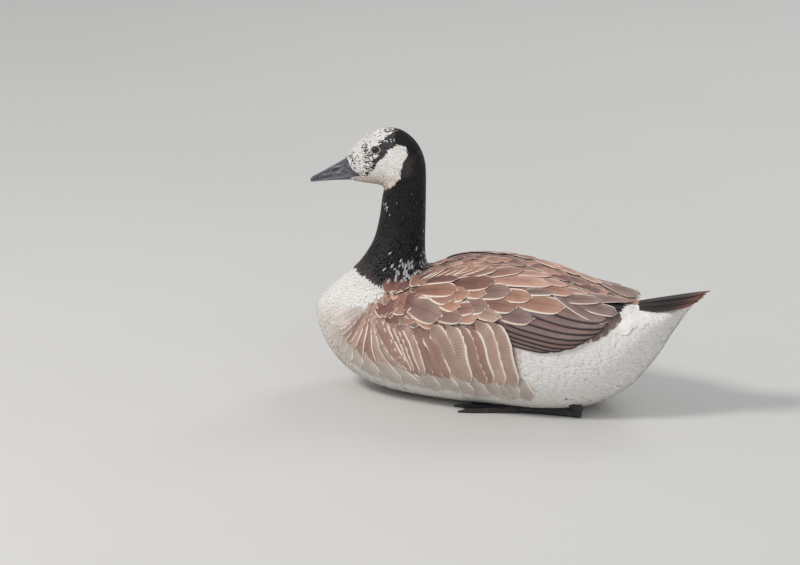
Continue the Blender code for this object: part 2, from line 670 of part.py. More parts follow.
def leg_shape(side, name, grow):
    """The leg before it is cut off at the floor, grown outwards by grow."""
    mirror = np.array([1, side, 1]) * MM
    pieces = []
    for path, half_thickness in LIMBS:
        radii = np.array(half_thickness) * MM
        pieces.append(tube(np.array(path) * mirror, radii, LIMB_SIDES, grow))
    outline = np.array(WEB_OUTLINE) * mirror[:2]
    middle = outline.mean(axis=0)
    outline = middle + (outline - middle) * (1 + grow / WEB_REACH)
    rings = [[(*point, z) for point in outline] for z in (-WEB_THICKNESS, WEB_THICKNESS + grow)]
    pieces.append(ring_mesh("web", rings))
    return join(name, pieces)


def box(name, low, high):
    (x0, y0, z0), (x1, y1, z1) = low, high
    ring = [(x0, y0), (x1, y0), (x1, y1), (x0, y1)]
    return ring_mesh(name, [[(x, y, z) for x, y in ring] for z in (z0, z1)])


def paint(name, colour, roughness, metallic=0.0):
    material = bpy.data.materials.new(name)
    material.use_nodes = True
    shader = material.node_tree.nodes["Principled BSDF"]
    shader.inputs["Base Color"].default_value = (*colour, 1)
    shader.inputs["Roughness"].default_value = roughness
    shader.inputs["Metallic"].default_value = metallic
    return material


def clear_scene():
    for thing in list(bpy.data.objects):
        bpy.data.objects.remove(thing)


def finish():
    paints = {word: paint(word, *look) for word, look in COLOURS.items()}
    for thing in bpy.context.scene.objects:
        thing.data.materials.clear()
        thing.data.materials.append(paints[thing.name.split("_")[0]])
        thing.data.shade_smooth()
        thing.data.set_sharp_from_angle(angle=math.radians(SHARP_ANGLE))


def main():
    clear_scene()
    torso = torso_shape("torso", 0.0)
    make_neck()
    make_head_with_eyes()
    make_bill()
    make_tail()
    for side, word in ((-1, "left"), (1, "right")):
        make_wing(side)
        make_leg(side, "leg_" + word)
        boolean(torso, leg_shape(side, "pocket", GAP), "DIFFERENCE")
    keep_largest(torso)
    finish()


main()
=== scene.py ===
"""A Canada goose at rest on its belly, as a still life-size model: one skin, laid all over with closed feathers."""

import math

import bpy
import numpy as np
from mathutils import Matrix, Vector
from mathutils.kdtree import KDTree


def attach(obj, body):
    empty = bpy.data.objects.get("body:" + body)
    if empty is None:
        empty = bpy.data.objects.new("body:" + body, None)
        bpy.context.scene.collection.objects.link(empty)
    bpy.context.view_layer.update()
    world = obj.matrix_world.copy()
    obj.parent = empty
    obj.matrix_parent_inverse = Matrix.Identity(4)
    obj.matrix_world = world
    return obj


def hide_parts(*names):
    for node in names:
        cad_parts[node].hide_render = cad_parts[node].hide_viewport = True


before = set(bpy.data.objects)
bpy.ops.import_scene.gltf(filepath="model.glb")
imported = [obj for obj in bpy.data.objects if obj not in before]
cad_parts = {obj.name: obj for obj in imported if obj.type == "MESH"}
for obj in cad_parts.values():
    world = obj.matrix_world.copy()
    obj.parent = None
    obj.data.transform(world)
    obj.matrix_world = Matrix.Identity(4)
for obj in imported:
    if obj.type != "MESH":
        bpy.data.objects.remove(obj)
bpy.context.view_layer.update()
MM = 0.001

# The camera looks along the bird's left side from a little behind and above.
CAMERA_TURN = 20.0
CAMERA_DROP = 16.0
CAMERA_AIM = Vector((-0.1488, 0.0, 0.1388))
CAMERA_DISTANCE = 6.0
VIEW_WIDTH = 1.024
SENSOR = 36.0

# Sections of the body from the tip of the undertail feathers to the root of the bill, as in the
# CAD, except that the back behind the shoulder lies a few millimetres lower. Each row: dorsal and ventral
# point (x, z), half width, height share of the widest place, and the squareness of the upper and
# lower half. Millimetres. The rows are stations 0 to 29.
BODY_ROWS = np.array((
    (246.0, 159.5, 247.5, 155.5, 15.0, 0.50, 2.0, 2.0),
    (222.0, 152.5, 233.0, 137.0, 31.0, 0.50, 2.2, 2.0),
    (190.0, 144.5, 214.0, 108.0, 44.0, 0.55, 2.2, 2.0),
    (160.0, 144.0, 191.0, 70.0, 57.0, 0.50, 2.2, 2.0),
    (128.0, 151.0, 156.0, 30.0, 69.0, 0.48, 2.2, 2.1),
    (92.0, 160.5, 108.0, 5.0, 81.0, 0.46, 2.2, 2.2),
    (50.0, 172.5, 56.0, -2.0, 91.0, 0.45, 2.2, 2.3),
    (8.0, 180.0, 0.0, -2.0, 96.0, 0.45, 2.2, 2.3),
    (-32.0, 181.0, -62.0, -2.0, 96.0, 0.45, 2.2, 2.3),
    (-68.0, 179.0, -118.0, -1.0, 90.0, 0.44, 2.1, 2.2),
    (-98.0, 169.0, -172.0, 6.0, 82.0, 0.43, 2.1, 2.1),
    (-110.0, 165.0, -216.0, 24.0, 72.0, 0.42, 2.0, 2.0),
    (-115.0, 166.0, -247.0, 57.0, 61.0, 0.42, 2.0, 2.0),
    (-116.5, 172.0, -259.5, 93.0, 52.0, 0.42, 2.0, 2.0),
    (-117.0, 183.0, -250.0, 118.0, 44.0, 0.42, 2.0, 2.0),
    (-117.0, 197.0, -226.0, 141.0, 37.0, 0.45, 2.0, 2.0),
    (-116.5, 214.0, -202.0, 163.0, 31.0, 0.48, 2.0, 2.0),
    (-116.0, 236.0, -183.5, 192.0, 26.5, 0.50, 2.0, 2.0),
    (-115.5, 262.0, -175.0, 222.0, 24.0, 0.50, 2.0, 2.0),
    (-115.5, 284.0, -171.0, 250.0, 23.5, 0.50, 2.0, 2.0),
    (-117.0, 300.0, -168.5, 262.5, 24.5, 0.50, 2.0, 2.0),
    (-122.0, 315.0, -171.5, 266.5, 25.5, 0.48, 2.0, 2.0),
    (-131.5, 328.5, -177.0, 267.8, 26.0, 0.46, 2.0, 2.1),
    (-146.0, 338.5, -184.0, 268.3, 26.3, 0.44, 2.0, 2.2),
    (-162.0, 341.3, -191.5, 268.6, 26.0, 0.43, 2.0, 2.2),
    (-178.0, 337.6, -198.0, 268.8, 24.5, 0.42, 2.0, 2.2),
    (-193.0, 329.5, -203.0, 269.0, 22.0, 0.42, 2.0, 2.2),
    (-206.0, 318.0, -206.5, 269.1, 19.0, 0.42, 2.0, 2.2),
    (-215.0, 306.0, -209.0, 269.2, 16.5, 0.42, 2.0, 2.1),
    (-221.5, 297.5, -211.0, 269.3, 14.0, 0.42, 2.0, 2.0),
))
LAST = len(BODY_ROWS) - 1
BILL_ROWS = np.array((
    (-221.5, 297.2, -211.0, 270.0, 13.4, 0.36, 2.0, 2.0),
    (-229.5, 291.6, -220.0, 269.0, 12.8, 0.34, 2.0, 2.0),
    (-238.5, 286.0, -231.0, 268.0, 12.2, 0.34, 2.1, 2.0),
    (-248.0, 280.2, -242.0, 266.6, 11.5, 0.34, 2.2, 2.0),
    (-257.0, 274.8, -252.0, 265.2, 10.6, 0.36, 2.2, 2.0),
    (-264.0, 270.6, -260.5, 263.6, 8.8, 0.40, 2.2, 2.0),
    (-268.3, 267.2, -266.6, 262.4, 6.0, 0.45, 2.0, 2.0),
    (-270.0, 264.8, -269.4, 262.3, 2.6, 0.50, 2.0, 2.0),
))
BILL_LAST = len(BILL_ROWS) - 1
MOUTH_SHARE = 0.17

# The folded wing's place, as station and turn in degrees, from its bend to the feather tips.
WING_PLACES = np.array((
    ((10.3, 22), (10.6, 36), (10.7, 49), (10.75, 60), (10.6, 70)),
    ((8.9, 9), (9.0, 25), (9.1, 41), (9.2, 57), (9.3, 72)),
    ((7.4, 7), (7.6, 23), (7.8, 39), (8.0, 54), (8.2, 69)),
    ((5.9, 7.5), (6.2, 23), (6.5, 38), (6.8, 53), (7.1, 67)),
    ((4.35, 9.5), (4.7, 25), (5.1, 40), (5.6, 55), (6.3, 70)),
    ((2.75, 12), (3.0, 30), (3.35, 47), (3.95, 62), (5.48, 78)),
))
WING_THICKNESS = 4.6 * MM
WING_EDGE = 1.4 * MM
WING_TIP_LIFT = 4.0 * MM

TAIL_ROOT = (166.0, 144.0)
TAIL_LENGTH = 104.0
TAIL_ROUNDING = 14.0
TAIL_RISE = 0.24
TAIL_ARCH = 2.0
TAIL_HALF_ROOT = 22.0
TAIL_HALF_TIP = 37.0

EYE_PLACE = (24.13, math.radians(65.0))  # station and turn
EYE_RADIUS = 6.5 * MM
EYE_DEPTH = 3.6 * MM


def linear(red, green, blue):
    """A colour as a screen shows it, 0 to 255, in the numbers that light adds up in."""
    shown = np.array([red, green, blue]) / 255
    return np.where(shown <= 0.04045, shown / 12.92, ((shown + 0.055) / 1.055) ** 2.4)


COLOURS = {
    "white": linear(240, 237, 233),
    "cream": linear(230, 213, 200),
    "tan": linear(172, 146, 124),
    "speck": linear(40, 35, 38),
    "grey": linear(128, 124, 130),
    "black": linear(17, 16, 18),
    # painted glints of sheen on black feathers
    "black_glint": linear(44, 42, 45),
    # painted sheen on the black nape
    "nape": linear(72, 62, 62),
    "fleck": linear(182, 180, 182),
    "plum": linear(80, 62, 64),
    "breast_shade": linear(206, 190, 178),
    "rust": linear(190, 146, 126),
    "red_brown": linear(170, 128, 112),
    "maroon": linear(134, 96, 86),
    "pale_rust": linear(206, 164, 144),
    "grey_brown": linear(162, 134, 124),
    "remex": linear(152, 128, 124),
    # the primaries' own near black, also the secondaries' dark edges, which are partly painted shadow
    "primary": linear(38, 29, 31),
    "flank": linear(172, 140, 126),
    "flank_pale": linear(194, 166, 152),
    "fringe": linear(250, 228, 212),
    "white_fringe": linear(240, 224, 210),
    "tail": linear(38, 29, 27),
    "worn": linear(112, 70, 58),
    # grey-white: the belly's own white with painted shade of the underside
    "belly": linear(214, 208, 200),
    "bill": linear(50, 48, 57),
    # painted highlights and painted reflection of the sky on the glossy horn
    "bill_highlight": linear(138, 134, 150),
    "nail": linear(44, 41, 45),
    # near black: painted shade in the bill's folds and mouth, and the real dark joints between the foot's scales
    "dark": linear(14, 12, 13),
}


def make_camera():
    turn, drop = math.radians(CAMERA_TURN), math.radians(CAMERA_DROP)
    forward = Vector((-math.sin(turn) * math.cos(drop), math.cos(turn) * math.cos(drop), -math.sin(drop)))
    data = bpy.data.cameras.new("camera")
    data.sensor_width = SENSOR
    data.lens = SENSOR * CAMERA_DISTANCE / VIEW_WIDTH
    camera = bpy.data.objects.new("camera", data)
    camera.location = CAMERA_AIM - forward * CAMERA_DISTANCE
    camera.rotation_euler = forward.to_track_quat("-Z", "Y").to_euler()
    bpy.context.scene.collection.objects.link(camera)
    bpy.context.scene.camera = camera


make_camera()


# Numbers


def unit(vectors):
    return vectors / np.maximum(np.linalg.norm(vectors, axis=-1, keepdims=True), 1e-12)


def dot(a, b):
    return (a * b).sum(-1)


def smooth(value, low, high):
    """0 below low, 1 above high, and a soft rise between them. High may be the lower of the two."""
    share = np.clip((value - low) / (high - low), 0, 1)
    return share * share * (3 - 2 * share)


def blend(share, a, b):
    return a + (b - a) * np.asarray(share)[..., None]


def noise(points, size, seed):
    """Soft lumps about size metres across, from -1 to 1, the same on every run."""
    at = np.asarray(points) / size
    cell = np.floor(at)
    part = at - cell
    part = part * part * (3 - 2 * part)
    cell = cell.astype(np.int64)
    total = np.zeros(at.shape[:-1])
    for corner in range(8):
        bits = np.array([corner & 1, corner >> 1 & 1, corner >> 2 & 1])
        key = (cell + bits) & 0xFFFF
        mixed = key[..., 0] * 73856093 ^ key[..., 1] * 19349663 ^ key[..., 2] * 83492791 ^ seed * 2654435761
        mixed = (mixed ^ mixed >> 13) * 1274126177 & 0x7FFFFFFF
        mixed = (mixed ^ mixed >> 11) & 0xFFFF
        weight = np.where(bits, part, 1 - part).prod(-1)
        total += weight * (mixed / 32767.5 - 1)
    return total


# The body's surface


def spline(rows, at):
    at = np.clip(np.asarray(at, float), 0, len(rows) - 1)
    left = np.minimum(at.astype(int), len(rows) - 2)
    share = (at - left)[..., None]
    slopes = np.gradient(rows, axis=0)
    square, cube = share**2, share**3
    return (
        rows[left] * (2 * cube - 3 * square + 1)
        + rows[left + 1] * (3 * square - 2 * cube)
        + slopes[left] * (cube - 2 * square + share)
        + slopes[left + 1] * (cube - square)
    )


def section_point(rows, station, turn):
    """Turn is 0 at the dorsal line, a quarter turn on the bird's left side, and negative on its
    right side."""
    station, turn = np.broadcast_arrays(station, turn)
    row = spline(rows, station)
    dorsal_x, dorsal_z, ventral_x, ventral_z, half, widest, upper, lower = np.moveaxis(row, -1, 0)
    cosine, sine = np.cos(turn), np.sin(turn)
    square = np.where(cosine >= 0, upper, lower)
    height = np.sign(cosine) * np.abs(cosine) ** (2 / square)
    side = np.sign(sine) * np.abs(sine) ** (2 / square)
    share = np.where(height >= 0, widest + (1 - widest) * height, widest * (1 + height))
    x = ventral_x + (dorsal_x - ventral_x) * share
    z = ventral_z + (dorsal_z - ventral_z) * share
    return np.stack([x, -half * side, z], axis=-1) * MM


STEP = 1e-3


def surface(station, turn, rows=BODY_ROWS):
    """Point, outward normal, and the surface's run for one station ahead and one radian round."""
    station = np.clip(station, STEP, len(rows) - 1 - STEP)
    point = section_point(rows, station, turn)
    ahead = section_point(rows, station + STEP, turn) - section_point(rows, station - STEP, turn)
    around = section_point(rows, station, turn + STEP) - section_point(rows, station, turn - STEP)
    return point, unit(np.cross(ahead, around)), ahead / (2 * STEP), around / (2 * STEP)


def steps_for(move, ahead, around):
    """The change of station and turn that makes a small move along the surface."""
    e, f, g = dot(ahead, ahead), dot(ahead, around), dot(around, around)
    p, q = dot(move, ahead), dot(move, around)
    whole = e * g - f * f
    return (g * p - f * q) / whole, (e * q - f * p) / whole


def wing_height_table():
    """Height of the folded wing above the body for each tenth of a station and degree of turn."""
    u, v = np.meshgrid(np.linspace(0, 1, 420), np.linspace(0, 1, 260), indexing="ij")
    weight_u = spline(np.eye(6), u * 5)
    weight_v = spline(np.eye(5), v * 4)
    place = np.einsum("...i,...j,ijk->...k", weight_u, weight_v, WING_PLACES)
    edge = np.clip(np.minimum(np.minimum(v, 1 - v) * 5, u * 9), 0, 1)
    rise = WING_EDGE + (WING_THICKNESS - WING_EDGE) * np.sqrt(edge * (2 - edge))
    rise += WING_TIP_LIFT * np.clip((u - 0.72) / 0.28, 0, 1) ** 1.5
    rise *= 0.12 + 0.88 * smooth(place[..., 1], 6, 40)
    table = np.zeros((LAST * 10 + 1, 181))
    np.maximum.at(table, (np.round(place[..., 0] * 10).astype(int), np.round(place[..., 1]).astype(int)), rise)
    for _ in range(5):
        padded = np.pad(table, 1, mode="edge")
        padded[:, 0] = padded[:, 2]
        table = sum(
            padded[1 + i : padded.shape[0] - 1 + i, 1 + j : padded.shape[1] - 1 + j]
            for i in (-1, 0, 1)
            for j in (-1, 0, 1)
        ) / 9
    return table


WING_HEIGHTS = wing_height_table()


def wing_height(station, turn):
    turn = np.degrees(np.abs((np.asarray(turn) + math.pi) % (2 * math.pi) - math.pi))
    i = np.clip(np.asarray(station) * 10, 0, LAST * 10 - 1e-6)
    j = np.clip(turn, 0, 180 - 1e-6)
    low_i, low_j = i.astype(int), j.astype(int)
    di, dj = i - low_i, j - low_j
    corners = WING_HEIGHTS[low_i, low_j], WING_HEIGHTS[low_i, low_j + 1], WING_HEIGHTS[low_i + 1, low_j]
    far = WING_HEIGHTS[low_i + 1, low_j + 1]
    return (corners[0] * (1 - dj) + corners[1] * dj) * (1 - di) + (corners[2] * (1 - dj) + far * dj) * di


FLOOR_EASE = 2.0 * MM


def off_floor(points):
    """Points nearer the floor than a feather's depth are pressed together above it."""
    low = points[..., 2]
    points[..., 2] = np.where(low < FLOOR_EASE, FLOOR_EASE * np.exp(np.minimum(low / FLOOR_EASE - 1, 0)), low)
    return points


# Markings. All places are in the side view, in millimetres, or station and turn in degrees.

# The edge of the black hood behind the white face and cheek: z, then x.
HOOD_EDGE = np.array((
    (262, -400), (266.5, -172), (268, -161), (270.7, -157), (272.8, -151.7), (277.1, -146.6), (282.1, -144.2),
    (285, -140.3), (294, -139.7), (301, -139.1), (305.3, -138.1), (309.3, -135.9), (313.3, -134.2),
    (318.6, -134.4), (323.7, -136.8), (325.7, -143), (326.6, -151.5), (331.7, -152.5), (338.5, -154), (345, -150),
))
# The front edge of the plain white cheek: z, then x.
CHEEK_EDGE = np.array((
    (268, -198), (278.8, -191.4), (285.6, -183), (291.6, -177), (301, -172.2), (304.9, -169.7), (308.7, -164.2),
    (313.4, -159.6), (316.7, -158.6), (320, -156.3), (322.5, -152.6), (324.3, -148.4), (326, -142), (327, -100),
))
# Dark feathers among the white ones: from, to, radius, and the share that are dark.
SPECKLED = (
    ((-167, 322), (-154, 325.5), 5.2, 0.97),
    ((-163, 317), (-168, 309), 4.2, 0.97),
    ((-168, 307), (-177, 303), 3.6, 0.92),
    ((-175, 303), (-177, 296), 3.0, 0.75),
    ((-160, 331), (-152, 333), 6.5, 0.74),
    ((-170, 326), (-160, 329), 3.2, 0.60),
    ((-160, 337), (-154, 335), 5.0, 0.40),
    ((-186, 309), (-183, 292), 6.5, 0.50),
    ((-192, 314), (-181, 311), 4.5, 0.50),
    ((-188, 286), (-186, 283), 4.0, 0.55),
    ((-208, 293), (-198, 285), 7.0, 0.28),
    ((-196, 306), (-194, 292), 8.0, 0.20),
    ((-182, 327), (-178, 320), 5.0, 0.30),
    ((-192, 331), (-163, 337), 6.0, 0.26),
    ((-153, 338), (-145, 340), 6.5, 0.80),
    ((-168, 341), (-152, 341), 4.5, 0.48),
    ((-191, 318), (-184, 300), 6.5, 0.52),
    ((-205, 305), (-196, 288), 7.0, 0.36),
    ((-214, 301), (-209, 301), 2.2, 0.60),
)
# The lower edge of the black neck, and of the brown back behind it: turn, then station.
NECK_EDGE = np.array((
    (0, 11.4), (15, 11.5), (23, 11.59), (34, 11.86), (43, 12.01), (53, 12.2), (57, 12.49), (62, 12.99), (70, 13.69),
    (81, 14.3), (104, 15.04), (126, 15.54), (150, 15.75), (180, 15.8),
))
# The lower edge of the brown back and folded wing: station, then turn.
WING_EDGE_LINE = np.array((
    (2.4, 0), (2.72, 3), (3.08, 38), (3.32, 47), (3.58, 52), (3.76, 57), (4.03, 63), (4.35, 70), (4.88, 73),
    (5.27, 76), (5.5, 79), (5.9, 79), (6.22, 73), (6.37, 66), (6.79, 65), (7.11, 64), (7.48, 66), (7.9, 69),
    (8.48, 68), (8.82, 70), (9.16, 73), (10.04, 69), (11.0, 66), (12.2, 54), (12.5, 53),
))
FLANK_FRONT, FLANK_BACK = 12.3, 6.42


def edge_at(line, value):
    return np.interp(value, line[:, 0], line[:, 1])


def on_back(station, turn):
    """Degrees inside the brown back and wing, negative outside it."""
    inside = edge_at(WING_EDGE_LINE, station) - turn
    return np.where((station > 2.4) & (station < edge_at(NECK_EDGE, turn)), inside, -90)


def near_segment(x, z, start, end, radius):
    """1 on the line from start to end, falling to 0 at radius."""
    start, end = np.array(start, float), np.array(end, float)
    run = end - start
    share = np.clip(((x - start[0]) * run[0] + (z - start[1]) * run[1]) / (run @ run), 0, 1)
    away = np.hypot(x - start[0] - share * run[0], z - start[1] - share * run[1])
    return 1 - smooth(away, 0.55 * radius, 1.35 * radius)


def flecks(points, degrees):
    """How thickly pale flecks lie in the black: below the throat, and round the neck's base."""
    x, z = points[..., 0] / MM, points[..., 2] / MM
    base = smooth(z, 196, 168) * smooth(x, -158, -130) * smooth(degrees, 112, 70)
    return np.maximum(0.55 * near_segment(x, z, (-162, 247), (-152, 239), 3.4), base)


def markings(points, station, turn, draw):
    """The plumage's colour at each place, for the skin and for the feathers rooted in it alike.
    Draw, from 0 to 1, decides between the two colours where they are mixed feather by feather."""
    x, z = points[..., 0] / MM, points[..., 2] / MM
    degrees = np.degrees(np.abs((turn + math.pi) % (2 * math.pi) - math.pi))
    ragged = noise(points, 5 * MM, 3) + 0.5 * noise(points, 2 * MM, 4)
    broad = noise(points, 16 * MM, 5)
    draw = np.broadcast_to(draw, x.shape)

    # head
    hood = smooth(x - np.interp(z, HOOD_EDGE[:, 0], HOOD_EDGE[:, 1]) + 1.1 * ragged, -0.8, 0.8)
    cheek = smooth(x - np.interp(z, CHEEK_EDGE[:, 0], CHEEK_EDGE[:, 1]) + 0.8 * ragged, -0.7, 0.7)
    dark = np.full(x.shape, 0.05)
    for start, end, radius, share in SPECKLED:
        dark = np.maximum(dark, share * near_segment(x, z, start, end, radius))
    dark = np.where(cheek > 0.5, 0.0, dark)
    clump = 0.5 + 0.5 * noise(points, 1.7 * MM, 6)
    speck = (0.45 * draw + 0.55 * clump < dark * 0.9 + 0.04 * (dark > 0.03)) & (dark > 0)
    low = smooth(z + 1.5 * broad, 292, 279) * smooth(x, -205, -190)
    head = blend(low * 0.75, COLOURS["white"], COLOURS["cream"])
    chin = smooth(z + 1.2 * ragged, 276.5, 270.5) * (0.45 + 0.4 * (draw > 0.5))
    head = blend(chin, head, COLOURS["tan"])
    mark = blend(0.35 * draw, COLOURS["speck"], COLOURS["grey"])
    head = np.where(speck[..., None], mark, head)
    # the side of the nape is painted a lighter brown-grey: painted sheen on the black feathers
    side_nape = smooth(x, -120, -133) * smooth(z, 284, 292) * smooth(z, 318, 306) * smooth(x, -146, -140)
    black = blend(side_nape * (0.5 + 0.5 * draw), COLOURS["black"], COLOURS["nape"])

    # neck: pale flecks in a patch below the throat and thickly at the back of its base
    flecked = draw < 0.45 * flecks(points, degrees)
    black = np.where(flecked[..., None], COLOURS["fleck"], black)
    plum = smooth(station - np.interp(degrees, *NECK_EDGE.T), 0.9, 0.1) * smooth(degrees, 40, 60)
    black = blend(plum * 0.6, black, COLOURS["plum"])
    colour = blend(hood, head, black)

    # body
    station_edge = np.interp(degrees, *NECK_EDGE.T) + 0.06 * ragged
    below = station < station_edge
    body = np.broadcast_to(COLOURS["white"], colour.shape)
    shade = (
        smooth(station, 13.9, 12.3) * smooth(station, 10.4, 11.6) * smooth(degrees, 84, 112)
        * smooth(degrees, 160, 130)
    )
    body = blend(shade * (0.35 + 0.5 * draw), body, COLOURS["breast_shade"])
    flank_low = 122 + 8 * broad
    flank = smooth(station + 0.15 * ragged, FLANK_FRONT + 0.1, FLANK_FRONT - 0.1)
    flank = (
        flank * smooth(station, FLANK_BACK - 0.1, FLANK_BACK + 0.2) * smooth(degrees, flank_low + 12, flank_low - 6)
    )
    body = blend(flank, body, blend(draw, COLOURS["flank"], COLOURS["flank_pale"]))
    # the underside is painted greyer: the belly's own white with painted shade
    belly = smooth(degrees, 118, 150) * smooth(station, 4, 6) * smooth(station, 14, 12)
    body = blend(belly * 0.55, body, COLOURS["belly"])
    back = on_back(station, degrees)
    brown = blend(draw, COLOURS["red_brown"], COLOURS["grey_brown"])
    body = blend(smooth(back, -1.5, 1.5), body, brown)
    return np.where(below[..., None], body, colour)


def bare(station, turn, margin=0.0):
    """Whether a place is on the bill's bare skin, which runs back along the gape."""
    degrees = np.degrees(np.abs((turn + math.pi) % (2 * math.pi) - math.pi))
    return station > np.interp(degrees, *BILL_EDGE.T) - margin


# Where feathers end at the bill: turn, then station.
BILL_EDGE = np.array((
    (0, 28.7), (20, 28.72), (40, 28.32), (62, 27.86), (78, 27.6), (93, 27.0), (108, 26.1), (118, 25.35),
    (125, 24.85), (131, 24.8), (135, 25.6), (142, 27.6), (160, 28.7), (180, 28.8),
))


# Meshes


def mesh_object(name, points, faces, material, sharp=None):
    """A mesh from points and faces that all have the same count of corners."""
    mesh = bpy.data.meshes.new(name)
    points = np.asarray(points, np.float32).reshape(-1, 3)
    faces = np.asarray(faces, np.int32)
    count, corners = faces.shape
    mesh.vertices.add(len(points))
    mesh.vertices.foreach_set("co", points.ravel())
    mesh.loops.add(count * corners)
    mesh.loops.foreach_set("vertex_index", faces.ravel())
    mesh.polygons.add(count)
    mesh.polygons.foreach_set("loop_start", np.arange(0, count * corners, corners, dtype=np.int32))
    mesh.update(calc_edges=True)
    mesh.shade_smooth()
    if sharp is not None:
        mesh.set_sharp_from_angle(angle=math.radians(sharp))
    mesh.materials.append(material)
    thing = bpy.data.objects.new(name, mesh)
    bpy.context.scene.collection.objects.link(thing)
    return thing


def add_attribute(thing, name, kind, values):
    attribute = thing.data.attributes.new(name, kind, "POINT")
    values = np.asarray(values, np.float32)
    if kind == "FLOAT_COLOR":
        values = values.reshape(-1, values.shape[-1])
        if values.shape[1] == 3:
            values = np.column_stack([values, np.ones(len(values), np.float32)])
        attribute.data.foreach_set("color", values.ravel())
    elif kind == "FLOAT_VECTOR":
        attribute.data.foreach_set("vector", values.ravel())
    else:
        attribute.data.foreach_set("value", values.ravel())


def add_map(thing, name, places):
    """A UV map from one place for each vertex."""
    layer = thing.data.uv_layers.new(name=name)
    index = np.empty(len(thing.data.loops), np.int32)
    thing.data.loops.foreach_get("vertex_index", index)
    layer.uv.foreach_set("vector", np.asarray(places, np.float32)[index].ravel())


def settle(thing, slot, *nodes):
    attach(thing, "root")
    if nodes:
        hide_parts(*nodes)
    return thing


# Feathers


class Shape:
    """A feather's outline: how far along each row of points is, how wide it is there, where the
    columns are, and how far the sides of a row lie behind its middle. A round root shows."""

    def __init__(self, rows, widths, columns, bow, round_root=False):
        self.rows, self.widths = np.array(rows, float), np.array(widths, float)
        self.columns, self.round_root = np.array(columns, float), round_root
        self.bow = bow * self.rows - 0.9 * round_root * (1 - self.rows) ** 8
        ends = np.minimum(self.rows, 1 - self.rows) if round_root else 1 - self.rows
        self.to_end = 1.6 * ends
        n, m = len(rows), len(columns)

        def under(i, j):
            rim = i in (0, n - 1) or j in (0, m - 1)
            return i * m + j if rim else n * m + (i - 1) * (m - 2) + j - 1

        faces = []
        for i in range(n - 1):
            for j in range(m - 1):
                a, b = i * m + j, (i + 1) * m + j
                faces.append((a, b, b + 1, a + 1))
                faces.append((under(i, j), under(i, j + 1), under(i + 1, j + 1), under(i + 1, j)))
        self.faces = np.array(faces)


SMALL = Shape((0, 0.3, 0.62, 0.87, 1), (0.35, 0.85, 1, 0.76, 0.25), (-1, 0, 1), 0.35)
BROAD = Shape(
    (0, 0.14, 0.3, 0.47, 0.63, 0.77, 0.88, 0.955, 1),
    (0.35, 0.66, 0.86, 0.96, 1, 0.97, 0.86, 0.66, 0.3),
    (-1, -0.7, -0.34, 0, 0.34, 0.7, 1),
    0.42,
)
LONG = Shape(
    (0, 0.1, 0.22, 0.35, 0.48, 0.6, 0.71, 0.8, 0.87, 0.93, 0.972, 1),
    (0.5, 0.78, 0.92, 0.98, 1, 1, 0.97, 0.92, 0.84, 0.7, 0.48, 0.16),
    (-1, -0.66, -0.2, 0.12, 0.42, 0.72, 1),
    0.3,
)
STRIP = Shape(
    (0, 0.025, 0.07, 0.14, 0.24, 0.36, 0.5, 0.64, 0.78, 0.89, 0.96, 1),
    (0.3, 0.62, 0.84, 0.97, 1, 1, 1, 1, 0.97, 0.86, 0.62, 0.3),
    (-1, -0.6, -0.2, 0.2, 0.5, 0.8, 1),
    0.35,
    round_root=True,
)
RECTRIX = Shape(
    (0, 0.12, 0.26, 0.4, 0.54, 0.67, 0.78, 0.87, 0.94, 0.98, 1),
    (0.5, 0.72, 0.86, 0.95, 1, 1, 0.97, 0.9, 0.72, 0.5, 0.25),
    (-1, -0.7, -0.34, 0, 0.34, 0.7, 1),
    0.35,
)

TUFT_ROWS, TUFT_WIDTHS = np.array([0, 0.36, 0.76, 1]), np.array([0.0, 0.95, 0.8, 0.0])
TUFT_FACES = np.array(
    [(0, 1 + (j + 1) % 4, 1 + j) for j in range(4)]
    + [(1 + j, 1 + (j + 1) % 4, 5 + (j + 1) % 4) for j in range(4)]
    + [(1 + j, 5 + (j + 1) % 4, 5 + j) for j in range(4)]
    + [(9, 5 + j, 5 + (j + 1) % 4) for j in range(4)]
)


